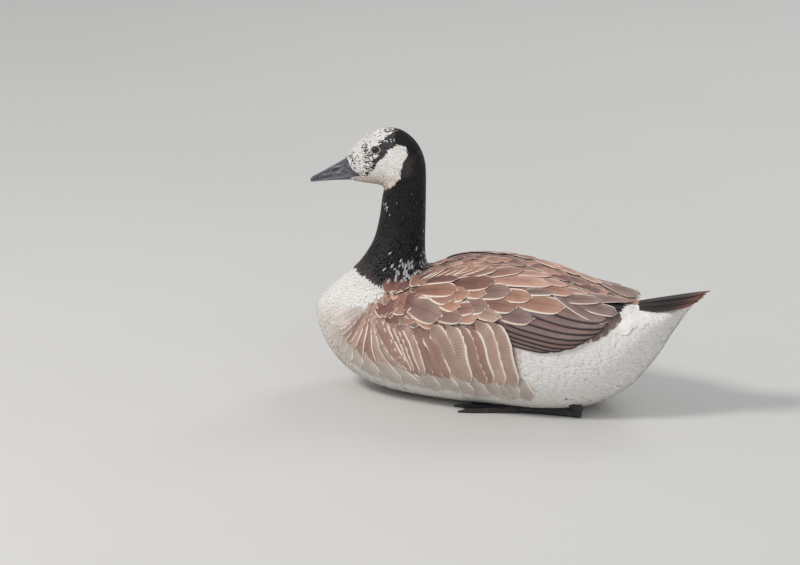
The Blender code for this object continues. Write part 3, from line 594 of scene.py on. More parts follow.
class Plumage:
    """The feathers of one piece, gathered and then joined in one mesh."""

    def __init__(self):
        self.points, self.faces, self.vane, self.tint, self.edge, self.roots = [], [], [], [], [], []
        self.count = 0

    def add(self, points, faces, vane, tint, edge, roots):
        """Points and vane are (feathers, points, 3). Vane holds the distance from the shaft, from
        the root and from the rim in mm. Edge holds the fringe's colour and its width in mm."""
        feathers, each = points.shape[:2]
        start = self.count + np.arange(feathers)[:, None, None] * each
        self.points.append(points.reshape(-1, 3))
        self.faces.append((faces[None] + start).reshape(-1, faces.shape[1]))
        self.vane.append(vane.reshape(-1, 3))
        tint = tint if tint.ndim == 3 else np.repeat(tint[:, None], each, 1)
        self.tint.append(tint.reshape(-1, 3))
        self.edge.append(np.repeat(edge[:, None], each, 1).reshape(-1, 4))
        self.roots.append((np.asarray(roots), each))
        self.count += feathers * each

    def bake_places(self):
        """For each vertex its place on the map for baking. The feathers lie on it in the order of
        their roots on an unwrapped, evened out skin: station one way and turn the other."""
        roots = np.concatenate([r for r, _ in self.roots])
        each = np.concatenate([np.full(len(r), n) for r, n in self.roots])
        side = int(math.ceil(math.sqrt(len(roots))))
        order = np.argsort(roots[:, 0], kind="stable")
        place = np.empty((len(roots), 2))
        for row in range(0, len(roots), side):
            picked = order[row : row + side]
            picked = picked[np.argsort(roots[picked, 1], kind="stable")]
            place[picked, 0] = (np.arange(len(picked)) + 0.5) / side
            place[picked, 1] = (row // side + 0.5) / side
        patch = min(max(0.0032, 0.8 / side if side < 40 else 0.0032), 0.8 / side)
        place = np.repeat(place, each, 0)
        vane = np.concatenate(self.vane)
        feather = np.repeat(np.arange(len(roots)), each)
        width = np.zeros(len(roots))
        length = np.zeros(len(roots))
        np.maximum.at(width, feather, np.abs(vane[:, 0]))
        np.maximum.at(length, feather, vane[:, 1])
        local = np.stack([vane[:, 0] / width[feather] / 2, vane[:, 1] / length[feather] - 0.5], 1)
        return place + local * patch

    def build(self, name, material, sharp=50):
        thing = mesh_object(name, np.concatenate(self.points), np.concatenate(self.faces), material, sharp)
        add_attribute(thing, "vane", "FLOAT_VECTOR", np.concatenate(self.vane))
        add_attribute(thing, "tint", "FLOAT_COLOR", np.concatenate(self.tint))
        add_attribute(thing, "edge", "FLOAT_COLOR", np.concatenate(self.edge))
        add_map(thing, "OFBake", self.bake_places())
        return thing


def headings(station, turn, heading):
    """Unit direction of the lie at each place: to the tail, turned down the side by heading."""
    point, normal, ahead, around = surface(station, turn)
    tailward = -unit(ahead)
    side = np.where(np.sin(turn) >= 0, 1.0, -1.0)[..., None]
    down = -side * np.cross(normal, tailward)
    lie = np.cos(heading)[..., None] * tailward + np.sin(heading)[..., None] * down
    return point, normal, ahead, around, lie


def centre_lines(station, turn, heading, length, rows):
    """Walks from each root over the body, straight along its surface."""
    _, normal, ahead, around, lie = headings(station, turn, heading)
    stations, turns = [station], [turn]
    for step in np.diff(rows):
        ds, dt = steps_for(lie * (length * step)[:, None], ahead, around)
        station = np.clip(station + ds, 0.02, LAST - 0.02)
        turn = turn + dt
        stations.append(station)
        turns.append(turn)
        _, normal, ahead, around = surface(station, turn)
        lie = unit(lie - normal * dot(lie, normal)[:, None])
    return np.stack(stations, 1), np.stack(turns, 1)


def lay_vanes(plumage, shape, stations, turns, half_width, look):
    """Lays one feather over each line of stations and turns, as wide as half_width in metres.
    Look gives, for each feather or for all: root and tip lift, roll, dome, thickness and droop of
    the tip (metres), and for each feather its tint, its deeper tint along the shaft, and its edge."""
    n = len(stations)
    full = {key: np.broadcast_to(value, (n,)) for key, value in look.items() if key not in ("tint", "deep", "edge")}
    point, normal, ahead, around = surface(stations, turns)
    lie = unit(np.gradient(point, axis=1))
    lie = unit(lie - normal * dot(lie, normal)[..., None])
    across = np.cross(normal, lie)
    half_width = np.broadcast_to(half_width, (n,))
    u, v = shape.columns, shape.rows
    reach = half_width[:, None] * shape.widths
    back = half_width[:, None, None] * shape.bow[None, :, None] * (u**2)[None, None]
    move = across[:, :, None] * (reach[:, :, None] * u)[..., None] - lie[:, :, None] * back[..., None]
    ds, dt = steps_for(move, ahead[:, :, None], around[:, :, None])
    station, turn = stations[:, :, None] + ds, turns[:, :, None] + dt
    base, out, _, _ = surface(station, turn)
    side = np.where(np.sin(turns[:, 0]) >= 0, 1.0, -1.0)[:, None, None]
    climb = full["lift_root"][:, None] + (full["lift_tip"] - full["lift_root"])[:, None] * v**1.15
    climb = climb - full["droop"][:, None] * smooth(v, 0.7, 1.0)
    lift = climb[:, :, None] - full["roll"][:, None, None] * side * u * (0.3 + 0.7 * v[None, :, None])
    lift = lift + full["dome"][:, None, None] * (1 - u**2) * np.sin(
        math.pi * np.clip(v, 0, 1) * 0.92 + 0.12
    )[None, :, None]
    lift = lift + wing_height(station, turn)
    thick = full["thickness"][:, None, None] * (1 - 0.75 * np.abs(u)) * (1 - 0.5 * v[None, :, None])
    top = off_floor(base + out * lift[..., None])
    under = off_floor(base + out * (lift - thick)[..., None])[:, 1:-1, 1:-1]
    length = np.linalg.norm(np.diff(point, axis=1), axis=-1).sum(1)
    vane = np.zeros(top.shape)
    vane[..., 0] = reach[:, :, None] * u
    vane[..., 1] = length[:, None, None] * v[None, :, None] - back
    vane[..., 2] = np.minimum(reach[:, :, None] * (1 - np.abs(u)), (length[:, None] * shape.to_end)[:, :, None])
    vane /= MM
    deep = (1 - np.abs(u) ** 1.8) * (1 - smooth(v, 0.5, 0.95))[:, None]
    tint = blend(
        deep * np.ones((n, 1, 1)), look["tint"][:, None, None], look.get("deep", look["tint"])[:, None, None]
    )
    tint = np.concatenate([tint.reshape(n, -1, 3), tint[:, 1:-1, 1:-1].reshape(n, -1, 3)], 1)
    vane = np.concatenate([vane.reshape(n, -1, 3), vane[:, 1:-1, 1:-1].reshape(n, -1, 3)], 1)
    points = np.concatenate([top.reshape(n, -1, 3), under.reshape(n, -1, 3)], 1)
    roots = np.stack([stations[:, 0], turns[:, 0]], 1)
    plumage.add(points, shape.faces, vane, tint, look["edge"], roots)


def lay_tufts(plumage, station, turn, heading, length, half_width, lift, tint, shade_root=0.75):
    """Small pointed feathers of sixteen faces, from roots sunk in the coat to raised tips."""
    n = len(station)
    _, _, ahead, around, lie = headings(station, turn, heading)
    rings = []
    for v, w in zip(TUFT_ROWS, TUFT_WIDTHS):
        ds, dt = steps_for(lie * (length * v)[:, None], ahead, around)
        point, normal, _, _ = surface(station + ds, turn + dt)
        point = point + normal * (wing_height(station + ds, turn + dt) + lift * (v - 0.35))[:, None]
        across = np.cross(normal, lie)
        side, high = across * (half_width * w)[:, None], normal * (half_width * 0.34)[:, None]
        rings += [point] if w == 0 else [point + side, point + high, point - side, point - high]
    points = off_floor(np.stack(rings, 1))
    along = np.array([0] + [TUFT_ROWS[1]] * 4 + [TUFT_ROWS[2]] * 4 + [1.0])
    beside = np.array([0, 1, 0, -1, 0, 0.85, 0, -0.85, 0, 0])
    vane = np.stack(
        [half_width[:, None] * beside, length[:, None] * along, half_width[:, None] * (1 - np.abs(beside))], -1
    ) / MM
    shade = shade_root + (1 - shade_root) * np.clip(along * 1.3, 0, 1)
    colours = tint[:, None] * shade[None, :, None]
    roots = np.stack([station, turn], 1)
    plumage.add(points, TUFT_FACES, vane, colours, np.zeros((n, 4)), roots)


def scatter(first, last, spacing, inside, seed):
    """Roots spread evenly over part of the body, from station first to last. Spacing gives the
    distance between them in metres, and inside whether a place takes one."""
    rng = np.random.default_rng(seed)
    cell = 0.05, math.radians(1.5)
    stations = np.arange(first, last, cell[0]) + cell[0] / 2
    turns = np.arange(-math.pi, math.pi, cell[1]) + cell[1] / 2
    station, turn = (grid.ravel() for grid in np.meshgrid(stations, turns, indexing="ij"))
    _, _, ahead, around = surface(station, turn)
    area = np.linalg.norm(np.cross(ahead, around), axis=-1) * cell[0] * cell[1]
    wanted = 4.5 * area / spacing(station, turn) ** 2 * inside(station, turn)
    count = rng.poisson(wanted)
    station, turn = np.repeat(station, count), np.repeat(turn, count)
    station = station + rng.uniform(-0.5, 0.5, len(station)) * cell[0]
    turn = turn + rng.uniform(-0.5, 0.5, len(turn)) * cell[1]
    keep = inside(station, turn)
    order = rng.permutation(np.flatnonzero(keep))
    station, turn = station[order], turn[order]
    point = section_point(BODY_ROWS, station, turn)
    reach = 0.78 * spacing(station, turn)
    tree = KDTree(len(point))
    for index, place in enumerate(point.tolist()):
        tree.insert(place, index)
    tree.balance()
    free = np.ones(len(point), bool)
    kept = []
    for index, (place, radius) in enumerate(zip(point.tolist(), reach.tolist())):
        if free[index]:
            kept.append(index)
            for _, other, _ in tree.find_range(place, radius):
                free[other] = False
    kept = np.array(kept)
    return station[kept], turn[kept]


# Materials


class Finish:
    """A procedural material under way: its node tree, and short ways to add to it."""

    def __init__(self, name, roughness, **constants):
        self.material = bpy.data.materials.new(name)
        self.material.use_nodes = True
        self.tree = self.material.node_tree
        self.shader = self.tree.nodes["Principled BSDF"]
        self.shader.inputs["Roughness"].default_value = roughness
        for socket, value in constants.items():
            self.shader.inputs[socket.replace("_", " ")].default_value = value

    def put(self, socket, value):
        if isinstance(value, bpy.types.NodeSocket):
            self.tree.links.new(value, socket)
        else:
            socket.default_value = value

    def attribute(self, name, output="Vector"):
        node = self.tree.nodes.new("ShaderNodeAttribute")
        node.attribute_name = name
        return node.outputs[output]

    def place(self):
        return self.tree.nodes.new("ShaderNodeTexCoord").outputs["Object"]

    def parts(self, vector):
        node = self.tree.nodes.new("ShaderNodeSeparateXYZ")
        self.put(node.inputs[0], vector)
        return node.outputs

    def joined(self, x, y, z):
        node = self.tree.nodes.new("ShaderNodeCombineXYZ")
        for socket, value in zip(node.inputs, (x, y, z)):
            self.put(socket, value)
        return node.outputs[0]

    def maths(self, operation, *values, clamp=False):
        node = self.tree.nodes.new("ShaderNodeMath")
        node.operation, node.use_clamp = operation, clamp
        for socket, value in zip(node.inputs, values):
            self.put(socket, value)
        return node.outputs[0]

    def rise(self, value, low, high, start=0.0, end=1.0):
        node = self.tree.nodes.new("ShaderNodeMapRange")
        node.interpolation_type = "SMOOTHSTEP"
        for socket, number in zip(node.inputs, (value, low, high, start, end)):
            self.put(socket, number)
        return node.outputs[0]

    def grain(self, vector, scale, detail=2.0, roughness=0.5, distortion=0.0):
        node = self.tree.nodes.new("ShaderNodeTexNoise")
        self.put(node.inputs["Vector"], vector)
        for name, value in (
            ("Scale", scale), ("Detail", detail), ("Roughness", roughness), ("Distortion", distortion)
        ):
            self.put(node.inputs[name], value)
        return node.outputs["Fac"]

    def cells(self, vector, scale, feature="F1"):
        node = self.tree.nodes.new("ShaderNodeTexVoronoi")
        node.feature = feature
        self.put(node.inputs["Vector"], vector)
        self.put(node.inputs["Scale"], scale)
        return node.outputs["Distance"]

    def mix(self, share, a, b, kind="MIX"):
        node = self.tree.nodes.new("ShaderNodeMix")
        node.data_type, node.blend_type = "RGBA", kind
        for socket, value in zip((node.inputs[0], node.inputs[6], node.inputs[7]), (share, a, b)):
            self.put(socket, (*value, 1.0) if isinstance(value, (tuple, np.ndarray)) and len(value) == 3 else value)
        return node.outputs[2]

    def finish(self, colour, height=None, depth=0.0, roughness=None, strength=1.0):
        self.put(self.shader.inputs["Base Color"], colour)
        if roughness is not None:
            self.put(self.shader.inputs["Roughness"], roughness)
        if height is not None:
            bump = self.tree.nodes.new("ShaderNodeBump")
            bump.inputs["Strength"].default_value = strength
            bump.inputs["Distance"].default_value = depth
            self.put(bump.inputs["Height"], height)
            self.tree.links.new(bump.outputs[0], self.shader.inputs["Normal"])
        return self.material


def feather_material(
    name, barb=0.9, barb_shade=0.16, shaft=0.0, bars=0.0, fringe=True, roughness=0.62, sheen=0.1, base_shade=0.72,
    cloud=0.4
):
    """Vaned feathers: tinted, with a shaft, barbs that slant off it, a ragged fringe, dark bars if any,
    and a darker part near the root: partly the feather's own darker base, partly painted shade under the feathers
    over it."""
    finish = Finish(name, roughness, Sheen_Weight=sheen, Sheen_Roughness=0.5, Specular_IOR_Level=0.32)
    across, along, rim = finish.parts(finish.attribute("vane"))
    out = finish.maths("ABSOLUTE", across)
    place = finish.place()
    drift = finish.grain(place, 420.0, 3.0)
    barb_run = finish.maths("SUBTRACT", along, finish.maths("MULTIPLY", out, 0.85))
    wave = finish.maths("SINE", finish.maths("ADD", finish.maths("MULTIPLY", barb_run, 2 * math.pi / barb),
                                             finish.maths("MULTIPLY", drift, 9.0)))
    streak = finish.grain(
        finish.joined(finish.maths("MULTIPLY", barb_run, 0.9), finish.maths("MULTIPLY", out, 0.10), 0.0), 1.0, 3.0,
        0.65
    )
    lines = finish.maths("ADD", finish.maths("MULTIPLY", wave, 0.5 * barb_shade),
                         finish.maths("MULTIPLY", finish.maths("SUBTRACT", streak, 0.5), 1.5 * barb_shade))
    drift = finish.maths("MULTIPLY", finish.maths("SUBTRACT", finish.grain(place, 90.0, 2.0), 0.5), cloud)
    tone = finish.maths("ADD", 1.0, finish.maths("ADD", lines, drift))
    # the vane darkens toward its root: partly its own darker base, partly painted shade under the feathers that
    # overlap it
    tone = finish.maths("MULTIPLY", tone, finish.rise(along, 0.0, 16.0 if fringe else 5.0, base_shade, 1.0))
    colour = finish.mix(1.0, finish.attribute("tint", "Color"), finish.joined(tone, tone, tone), "MULTIPLY")
    if bars:
        wobble = finish.maths("MULTIPLY", finish.grain(place, 130.0, 2.0), 4.0)
        bar = finish.maths("SINE", finish.maths("ADD", finish.maths("MULTIPLY", along, 2 * math.pi / 3.1), wobble))
        dark = finish.maths("MULTIPLY", finish.rise(bar, 0.0, 0.95), bars)
        dark = finish.maths("MULTIPLY", dark, finish.rise(finish.grain(place, 55.0, 1.0), 0.42, 0.62))
        dark = finish.maths("MULTIPLY", dark, finish.rise(rim, 0.8, 2.6))
        colour = finish.mix(dark, colour, COLOURS["plum"])
    if shaft:
        line = finish.maths("MULTIPLY", finish.rise(out, 0.75, 0.25), shaft)
        colour = finish.mix(line, colour, finish.mix(1.0, colour, (0.45, 0.42, 0.42), "MULTIPLY"))
    if fringe:
        edge = finish.tree.nodes.new("ShaderNodeAttribute")
        edge.attribute_name = "edge"
        width = edge.outputs["Alpha"]
        ragged = finish.maths("MULTIPLY", finish.maths("SUBTRACT", finish.grain(place, 700.0, 2.0), 0.5), 0.9)
        inner = finish.maths("ADD", finish.maths("ADD", rim, ragged), finish.maths("MULTIPLY", wave, 0.12))
        share = finish.rise(inner, finish.maths("MULTIPLY", width, 1.25), finish.maths("MULTIPLY", width, 0.4))
        share = finish.maths("MULTIPLY", share, finish.rise(width, 0.02, 0.2))
        share = finish.maths("MULTIPLY", share, finish.rise(along, 5.0, 16.0, 0.1, 0.95))
        colour = finish.mix(share, colour, edge.outputs["Color"])
    height = finish.maths("ADD", finish.maths("MULTIPLY", wave, 0.4), finish.maths("MULTIPLY", streak, 1.2))
    if shaft:
        height = finish.maths("ADD", height, finish.rise(out, 0.9, 0.2, 0.0, 2.0))
    return finish.finish(
        colour, height, 0.12 * MM, finish.maths("ADD", roughness - 0.08, finish.maths("MULTIPLY", streak, 0.16))
    )


def tuft_material(name, roughness, sheen, vary=0.35, streaks=0.5):
    """Small dense feathers, whose own tint is broken up by streaks along the lie."""
    finish = Finish(name, roughness, Sheen_Weight=sheen, Sheen_Roughness=0.4, Specular_IOR_Level=0.3)
    across, along, _ = finish.parts(finish.attribute("vane"))
    place = finish.place()
    fine = finish.grain(place, 900.0, 3.0, 0.6)
    broad = finish.grain(place, 70.0, 2.0)
    strand = finish.grain(
        finish.joined(finish.maths("MULTIPLY", across, 4.0), finish.maths("MULTIPLY", along, 0.35), finish.maths("MULTIPLY", broad, 40.0)),
        1.0, 2.0
    )
    tone = finish.maths("ADD", finish.maths("MULTIPLY", finish.maths("SUBTRACT", fine, 0.5), vary),
                        finish.maths("MULTIPLY", finish.maths("SUBTRACT", strand, 0.5), streaks))
    tone = finish.maths("ADD", tone, finish.maths("MULTIPLY", finish.maths("SUBTRACT", broad, 0.5), 0.3))
    tone = finish.maths("ADD", 1.0, tone)
    colour = finish.mix(1.0, finish.attribute("tint", "Color"), finish.joined(tone, tone, tone), "MULTIPLY")
    return finish.finish(colour, finish.maths("ADD", fine, strand), 0.1 * MM)


def skin_material():
    """The skin's down under the feathers: the same markings, softly mottled."""
    finish = Finish("down_skin", 0.85, Sheen_Weight=0.15, Specular_IOR_Level=0.2)
    place = finish.place()
    fine = finish.grain(place, 600.0, 4.0, 0.65)
    broad = finish.grain(place, 60.0, 2.0)
    tone = finish.maths(
        "ADD", 0.55, finish.maths("ADD", finish.maths("MULTIPLY", fine, 0.4), finish.maths("MULTIPLY", broad, 0.3))
    )
    colour = finish.mix(1.0, finish.attribute("tint", "Color"), finish.joined(tone, tone, tone), "MULTIPLY")
    return finish.finish(colour, fine, 0.4 * MM)


def bill_material():
    """Slate horn: pale in mottled patches of painted reflection, dark in its folds and openings with painted shade,
    with fine wrinkles and scratches.
    """
    finish = Finish("bill_horn", 0.30, Coat_Weight=0.5, Coat_Roughness=0.16, Specular_IOR_Level=0.55)
    place = finish.place()
    x, y, z = finish.parts(place)
    run = finish.joined(finish.maths("MULTIPLY", x, 0.28), y, z)
    blotch = finish.grain(run, 220.0, 4.0, 0.6)
    scratch = finish.grain(finish.joined(finish.maths("MULTIPLY", x, 0.12), y, z), 1400.0, 2.0)
    fine = finish.cells(place, 1500.0)
    tint = finish.attribute("tint", "Color")
    # pale mottled patches: painted reflection of the sky on the glossy horn
    pale = finish.mix(finish.rise(blotch, 0.42, 0.72, 0.0, 0.55), tint, COLOURS["bill_highlight"])
    tone = finish.maths("ADD", 0.82, finish.maths("MULTIPLY", scratch, 0.34))
    colour = finish.mix(1.0, pale, finish.joined(tone, tone, tone), "MULTIPLY")
    # painted shade, darkening the nostril, the creases, the rim of the nail, the mouth line and the inside of the
    # mouth
    dark = finish.attribute("groove", "Fac")
    colour = finish.mix(dark, colour, COLOURS["dark"])
    height = finish.maths("ADD", finish.maths("MULTIPLY", blotch, 1.0), finish.maths("MULTIPLY", fine, 0.25))
    rough = finish.maths("ADD", 0.27, finish.maths("MULTIPLY", blotch, 0.22))
    return finish.finish(colour, height, 0.25 * MM, rough)


def eye_material():
    """A dark brown iris round a black pupil, under a wet gloss."""
    finish = Finish("wet_eye", 0.08, Coat_Weight=0.45, Coat_Roughness=0.02, Specular_IOR_Level=0.35)
    away = finish.attribute("axis", "Fac")
    place = finish.place()
    rays = finish.grain(place, 900.0, 3.0, 0.7)
    brown = finish.mix(rays, linear(15, 8, 6), linear(38, 22, 14))
    rim = finish.mix(finish.rise(away, 3.4, 4.6), brown, linear(16, 10, 9))
    colour = finish.mix(finish.rise(away, 3.1, 2.8), rim, linear(2, 2, 3))
    return finish.finish(colour)


def lid_material():
    """Bare lid skin, pale at its rim and dark outside, with fine wrinkles round the eye."""
    finish = Finish("lid_skin", 0.5, Specular_IOR_Level=0.4)
    place = finish.place()
    wrinkle = finish.grain(place, 1300.0, 3.0, 0.6)
    share = finish.rise(finish.attribute("ring", "Fac"), 0.15, 0.75)
    colour = finish.mix(share, linear(196, 188, 182), linear(120, 110, 108))
    colour = finish.mix(finish.rise(wrinkle, 0.35, 0.7, 0.0, 0.5), colour, linear(92, 82, 82))
    return finish.finish(colour, wrinkle, 0.15 * MM)


def foot_material(name, light):
    """Black scaly skin, its scales worn grey on top."""
    finish = Finish(name, 0.48, Specular_IOR_Level=0.45)
    place = finish.place()
    scales = finish.cells(place, 420.0, "DISTANCE_TO_EDGE")
    fine = finish.grain(place, 500.0, 4.0, 0.6)
    colour = finish.mix(finish.rise(fine, 0.3, 0.75), linear(28, 26, 27), linear(*light))
    colour = finish.mix(finish.rise(scales, 0.08, 0.0, 0.0, 0.8), colour, COLOURS["dark"])
    height = finish.maths("ADD", finish.rise(scales, 0.0, 0.2), finish.maths("MULTIPLY", fine, 0.3))
    return finish.finish(colour, height, 0.4 * MM)


def floor_material():
    finish = Finish("studio_floor", 0.6, Specular_IOR_Level=0.25)
    cloud = finish.grain(finish.place(), 1.4, 3.0)
    return finish.finish(finish.mix(cloud, linear(206, 205, 202), linear(214, 213, 210)))


# Skin

DEPTH_ROWS = np.array(
    ((0, 1.6), (3, 2.6), (7, 2.8), (12, 2.8), (15, 2.2), (18, 1.6), (20, 1.0), (24, 0.7), (29, 0.4))
)


def skin_lift(station, turn):
    depth = np.interp(station, *DEPTH_ROWS.T) * MM
    return 0.55 * np.minimum(wing_height(station, turn), WING_THICKNESS) - depth


def make_skin():
    """One closed skin from the undertail to the bill, inside the solids by the coat's depth."""
    stations = np.linspace(0.0, LAST, LAST * 9 + 1)
    turns = np.linspace(-math.pi, math.pi, 145)[:-1]
    station, turn = np.meshgrid(stations, turns, indexing="ij")
    point, normal, _, _ = surface(station, turn)
    covered = point + normal * skin_lift(station, turn)[..., None]
    covered[..., 2] = np.maximum(covered[..., 2], 0.6 * MM)
    rings, around = station.shape
    points = covered.reshape(-1, 3)
    ends = [covered[0].mean(0), covered[-1].mean(0)]
    points = np.concatenate([points, ends])
    grid = np.arange(rings * around).reshape(rings, around)
    near, far = grid[:-1], grid[1:]
    quads = np.stack([near, np.roll(near, -1, 1), np.roll(far, -1, 1), far], -1).reshape(-1, 4)
    triangles = np.concatenate([
        quads[:, [0, 2, 1]], quads[:, [0, 3, 2]],
        np.stack([np.full(around, len(points) - 2), grid[0], np.roll(grid[0], -1)], 1),
        np.stack([np.full(around, len(points) - 1), np.roll(grid[-1], -1), grid[-1]], 1),
    ])
    skin = mesh_object("skin", points, triangles, skin_material())
    draw = 0.5 + 0.5 * noise(point, 1.6 * MM, 21)
    colours = markings(point, station, turn, draw).reshape(-1, 3)
    colours = np.concatenate([colours, [COLOURS["white"]], [COLOURS["black"]]])
    add_attribute(skin, "tint", "FLOAT_COLOR", colours)
    places = np.stack([turn / (2 * math.pi) + 0.5, station / LAST], -1).reshape(-1, 2)
    places = np.concatenate([places, [(0.5, 0.0), (0.5, 1.0)]])
    add_map(skin, "OFBake", places * 0.98 + 0.01)
    # a face across the join under the belly keeps to the map's far side
    layer = skin.data.uv_layers["OFBake"].uv
    corners = np.empty(len(layer) * 2, np.float32)
    layer.foreach_get("vector", corners)
    corners = corners.reshape(-1, 3, 2)
    wraps = np.ptp(corners[..., 0], axis=1) > 0.5
    corners[wraps, :, 0] = np.where(corners[wraps, :, 0] < 0.4, 0.99, corners[wraps, :, 0])
    layer.foreach_set("vector", corners.ravel())
    settle(skin, "body_feathers", "torso", "neck", "head")


# Small feathers


def near_eye(station, turn, grow):
    """Whether a place lies under the lids, their ring grown by this much."""
    eye, _, level, upward = eye_frame()
    point = section_point(BODY_ROWS, station, turn)
    away = point * (1, 0, 1) - (0, 1, 0) * np.abs(point[..., 1:2]) - eye
    a, b = dot(away, level), dot(away, upward)
    return (a / (LID_REACH[0] + grow)) ** 2 + (b / (LID_REACH[1] + grow)) ** 2 < 1


LID_REACH = (7.4 * MM, 5.7 * MM)


SMALL_SPACING = np.array((
    (0, 4.4), (3, 4.6), (6, 5.6), (10.5, 5.4), (12, 3.8), (14, 3.1), (15.5, 2.5), (17, 2.1), (19, 1.8), (21, 1.5),
    (23, 1.25), (29, 1.1),
))


def small_spacing(station, turn):
    """Distance between small feathers: finest on the face, wider down the neck and body, and
    closer along the edge between the black neck and the white breast."""
    degrees = np.degrees(np.abs((turn + math.pi) % (2 * math.pi) - math.pi))
    wide = np.interp(station, *SMALL_SPACING.T)
    edge = np.abs(station - edge_at(NECK_EDGE, degrees))
    return np.minimum(wide, 2.2 + 4 * np.maximum(edge - 0.35, 0)) * MM


def free_of_vanes(station, turn):
    degrees = np.degrees(np.abs((turn + math.pi) % (2 * math.pi) - math.pi))
    return on_back(station, degrees) < np.where(station < 6.4, 1.5, 4)


def black_neck(station, turn):
    degrees = np.degrees(np.abs((turn + math.pi) % (2 * math.pi) - math.pi))
    return station > edge_at(NECK_EDGE, degrees)


def lie_of_small(station, turn, rng):
    degrees = np.degrees(np.abs((turn + math.pi) % (2 * math.pi) - math.pi))
    down = np.interp(station, (0, 4, 8, 12, 15, 18, 22, 29), (-4, 2, 8, 16, 10, 4, 8, 12))
    down = down * np.sin(np.radians(np.clip(degrees, 0, 180)))
    return np.radians(down + rng.normal(0, 5, len(station)))


def draw_neck_flecks(rng):
    """Thin pale feathers among the black ones."""
    def inside(station, turn):
        return black_neck(station, turn) & free_of_vanes(station, turn) & (station < 19)

    station, turn = scatter(11.3, 19, lambda station, turn: np.full(station.shape, 1.5 * MM), inside, 11)
    degrees = np.degrees(np.abs((turn + math.pi) % (2 * math.pi) - math.pi))
    point = section_point(BODY_ROWS, station, turn)
    patch = 0.6 + 0.4 * noise(point, 5 * MM, 12)
    chosen = rng.uniform(0, 1, len(station)) < 0.42 * flecks(point, degrees) * patch + 0.006
    station, turn = station[chosen], turn[chosen]
    n = len(station)
    tint = blend(rng.uniform(0, 1, n) ** 0.8, COLOURS["fleck"] * np.ones((n, 1)), COLOURS["grey"] * 0.6)
    plumage = Plumage()
    length = rng.uniform(2.6, 4.4, n) * MM
    heading = lie_of_small(station, turn, rng)
    lay_tufts(plumage, station, turn, heading, length, rng.uniform(0.26, 0.42, n) * MM, np.full(n, 1.5 * MM), tint)
    thing = plumage.build("neck_flecks", tuft_material("fleck_plumage", 0.6, 0.1, 0.2, 0.3))
    settle(thing, "black_feathers")


def make_head_and_neck():
    rng = np.random.default_rng(31)

    def inside(station, turn):
        own = black_neck(station, turn) & free_of_vanes(station, turn)
        return own & ~bare(station, turn, 0.02) & ~near_eye(station, turn, 0.2 * MM)

    station, turn = scatter(11.3, LAST - 0.05, small_spacing, inside, 7)
    spacing = small_spacing(station, turn)
    heading = lie_of_small(station, turn, rng)
    length = spacing * rng.uniform(2.2, 2.9, len(station))
    # feathers in front of the eye stop short of its lids
    _, _, ahead, around, lie = headings(station, turn, heading)
    for _ in range(3):
        ds, dt = steps_for(lie * length[:, None], ahead, around)
        crossing = near_eye(station + ds, turn + dt, -0.2 * MM) | near_eye(
            station + 0.6 * ds, turn + 0.6 * dt, -0.2 * MM
        )
        length = np.where(crossing, length * 0.6, length)
    keep = ~crossing
    station, turn, spacing, heading, length = (a[keep] for a in (station, turn, spacing, heading, length))
    draw = rng.uniform(0, 1, len(station))
    point = section_point(BODY_ROWS, station, turn)
    tint = markings(point, station, turn, draw)
    tint = tint * (1 + rng.normal(0, 0.04, (len(station), 1)))
    # some black feathers are painted a lighter grey: painted glints of sheen on the black neck
    worn = (tint.max(1) < 0.03) * np.clip(rng.normal(0, 0.28, len(station)), 0, 1)
    tint = blend(worn, tint, COLOURS["black_glint"])
    lift = np.interp(station, (14, 18, 22, 29), (1.5, 1.0, 0.75, 0.5)) * MM
    half = spacing * np.interp(station, (14, 20, 24), (0.48, 0.52, 0.6)) * rng.uniform(0.88, 1.12, len(station))
    draw_neck_flecks(rng)
    head = tuft_material("head_plumage", 0.7, 0.12, 0.22, 0.22)
    neck = tuft_material("neck_plumage", 0.5, 0.35, 0.5, 0.9)
    bands = (
        (24.2, 40, "face_feathers", head), (21.2, 24.2, "crown_and_cheek_feathers", head),
        (18.0, 21.2, "throat_feathers", neck), (0, 18.0, "neck_feathers", neck)
    )
    for low, high, name, material in bands:
        chosen = (station >= low) & (station < high)
        plumage = Plumage()
        lay_tufts(
            plumage, station[chosen], turn[chosen], heading[chosen], length[chosen], half[chosen], lift[chosen],
            tint[chosen]
        )
        thing = plumage.build(name, material)
        settle(thing, "head_feathers" if material is head else "black_feathers")


def make_body_feathers():
    rng = np.random.default_rng(33)

    def inside(station, turn):
        return free_of_vanes(station, turn) & ~black_neck(station, turn)

    station, turn = scatter(0.05, 15.95, small_spacing, inside, 9)
    spacing = small_spacing(station, turn)
    heading = lie_of_small(station, turn, rng)
    length = spacing * rng.uniform(2.6, 3.3, len(station))
    draw = rng.uniform(0, 1, len(station))
    point = section_point(BODY_ROWS, station, turn)
    tint = markings(point, station, turn, draw)
    tint = np.clip(tint * (1 + rng.normal(0, 0.018, (len(station), 1))), 0, 0.9)
    stations, turns = centre_lines(station, turn, heading, length, SMALL.rows)
    look = {
        "lift_root": -0.9 * MM, "lift_tip": (0.35 + rng.uniform(0, 0.3, len(station))) * MM,
        "roll": rng.normal(0, 0.06, len(station)) * MM,
        "dome": 0.07 * spacing, "thickness": 0.3 * MM, "droop": 0.12 * MM,
    }
    half = spacing * rng.uniform(0.85, 1.05, len(station))
    material = feather_material(
        "body_plumage", 0.7, 0.04, 0.08, fringe=False, roughness=0.75, sheen=0.15, base_shade=0.93, cloud=0.08
    )
    bands = (
        ("vent_feathers", (station < 4.6)), ("belly_feathers", (station >= 4.6) & (station < 10.5)),
        ("breast_feathers", (station >= 10.5))
    )
    for name, chosen in bands:
        plumage = Plumage()
        picked = {key: value[chosen] if np.ndim(value) else value for key, value in look.items()}
        picked["tint"], picked["edge"] = tint[chosen], np.zeros((chosen.sum(), 4))
        lay_vanes(plumage, SMALL, stations[chosen], turns[chosen], half[chosen], picked)
        thing = plumage.build(name, material)
        settle(thing, "body_feathers")


# Large feathers of the back and wings. Each row: station and turn in degrees where the feather
# comes out from under the others, the same for its tip, half width in mm, tint, fringe in mm.

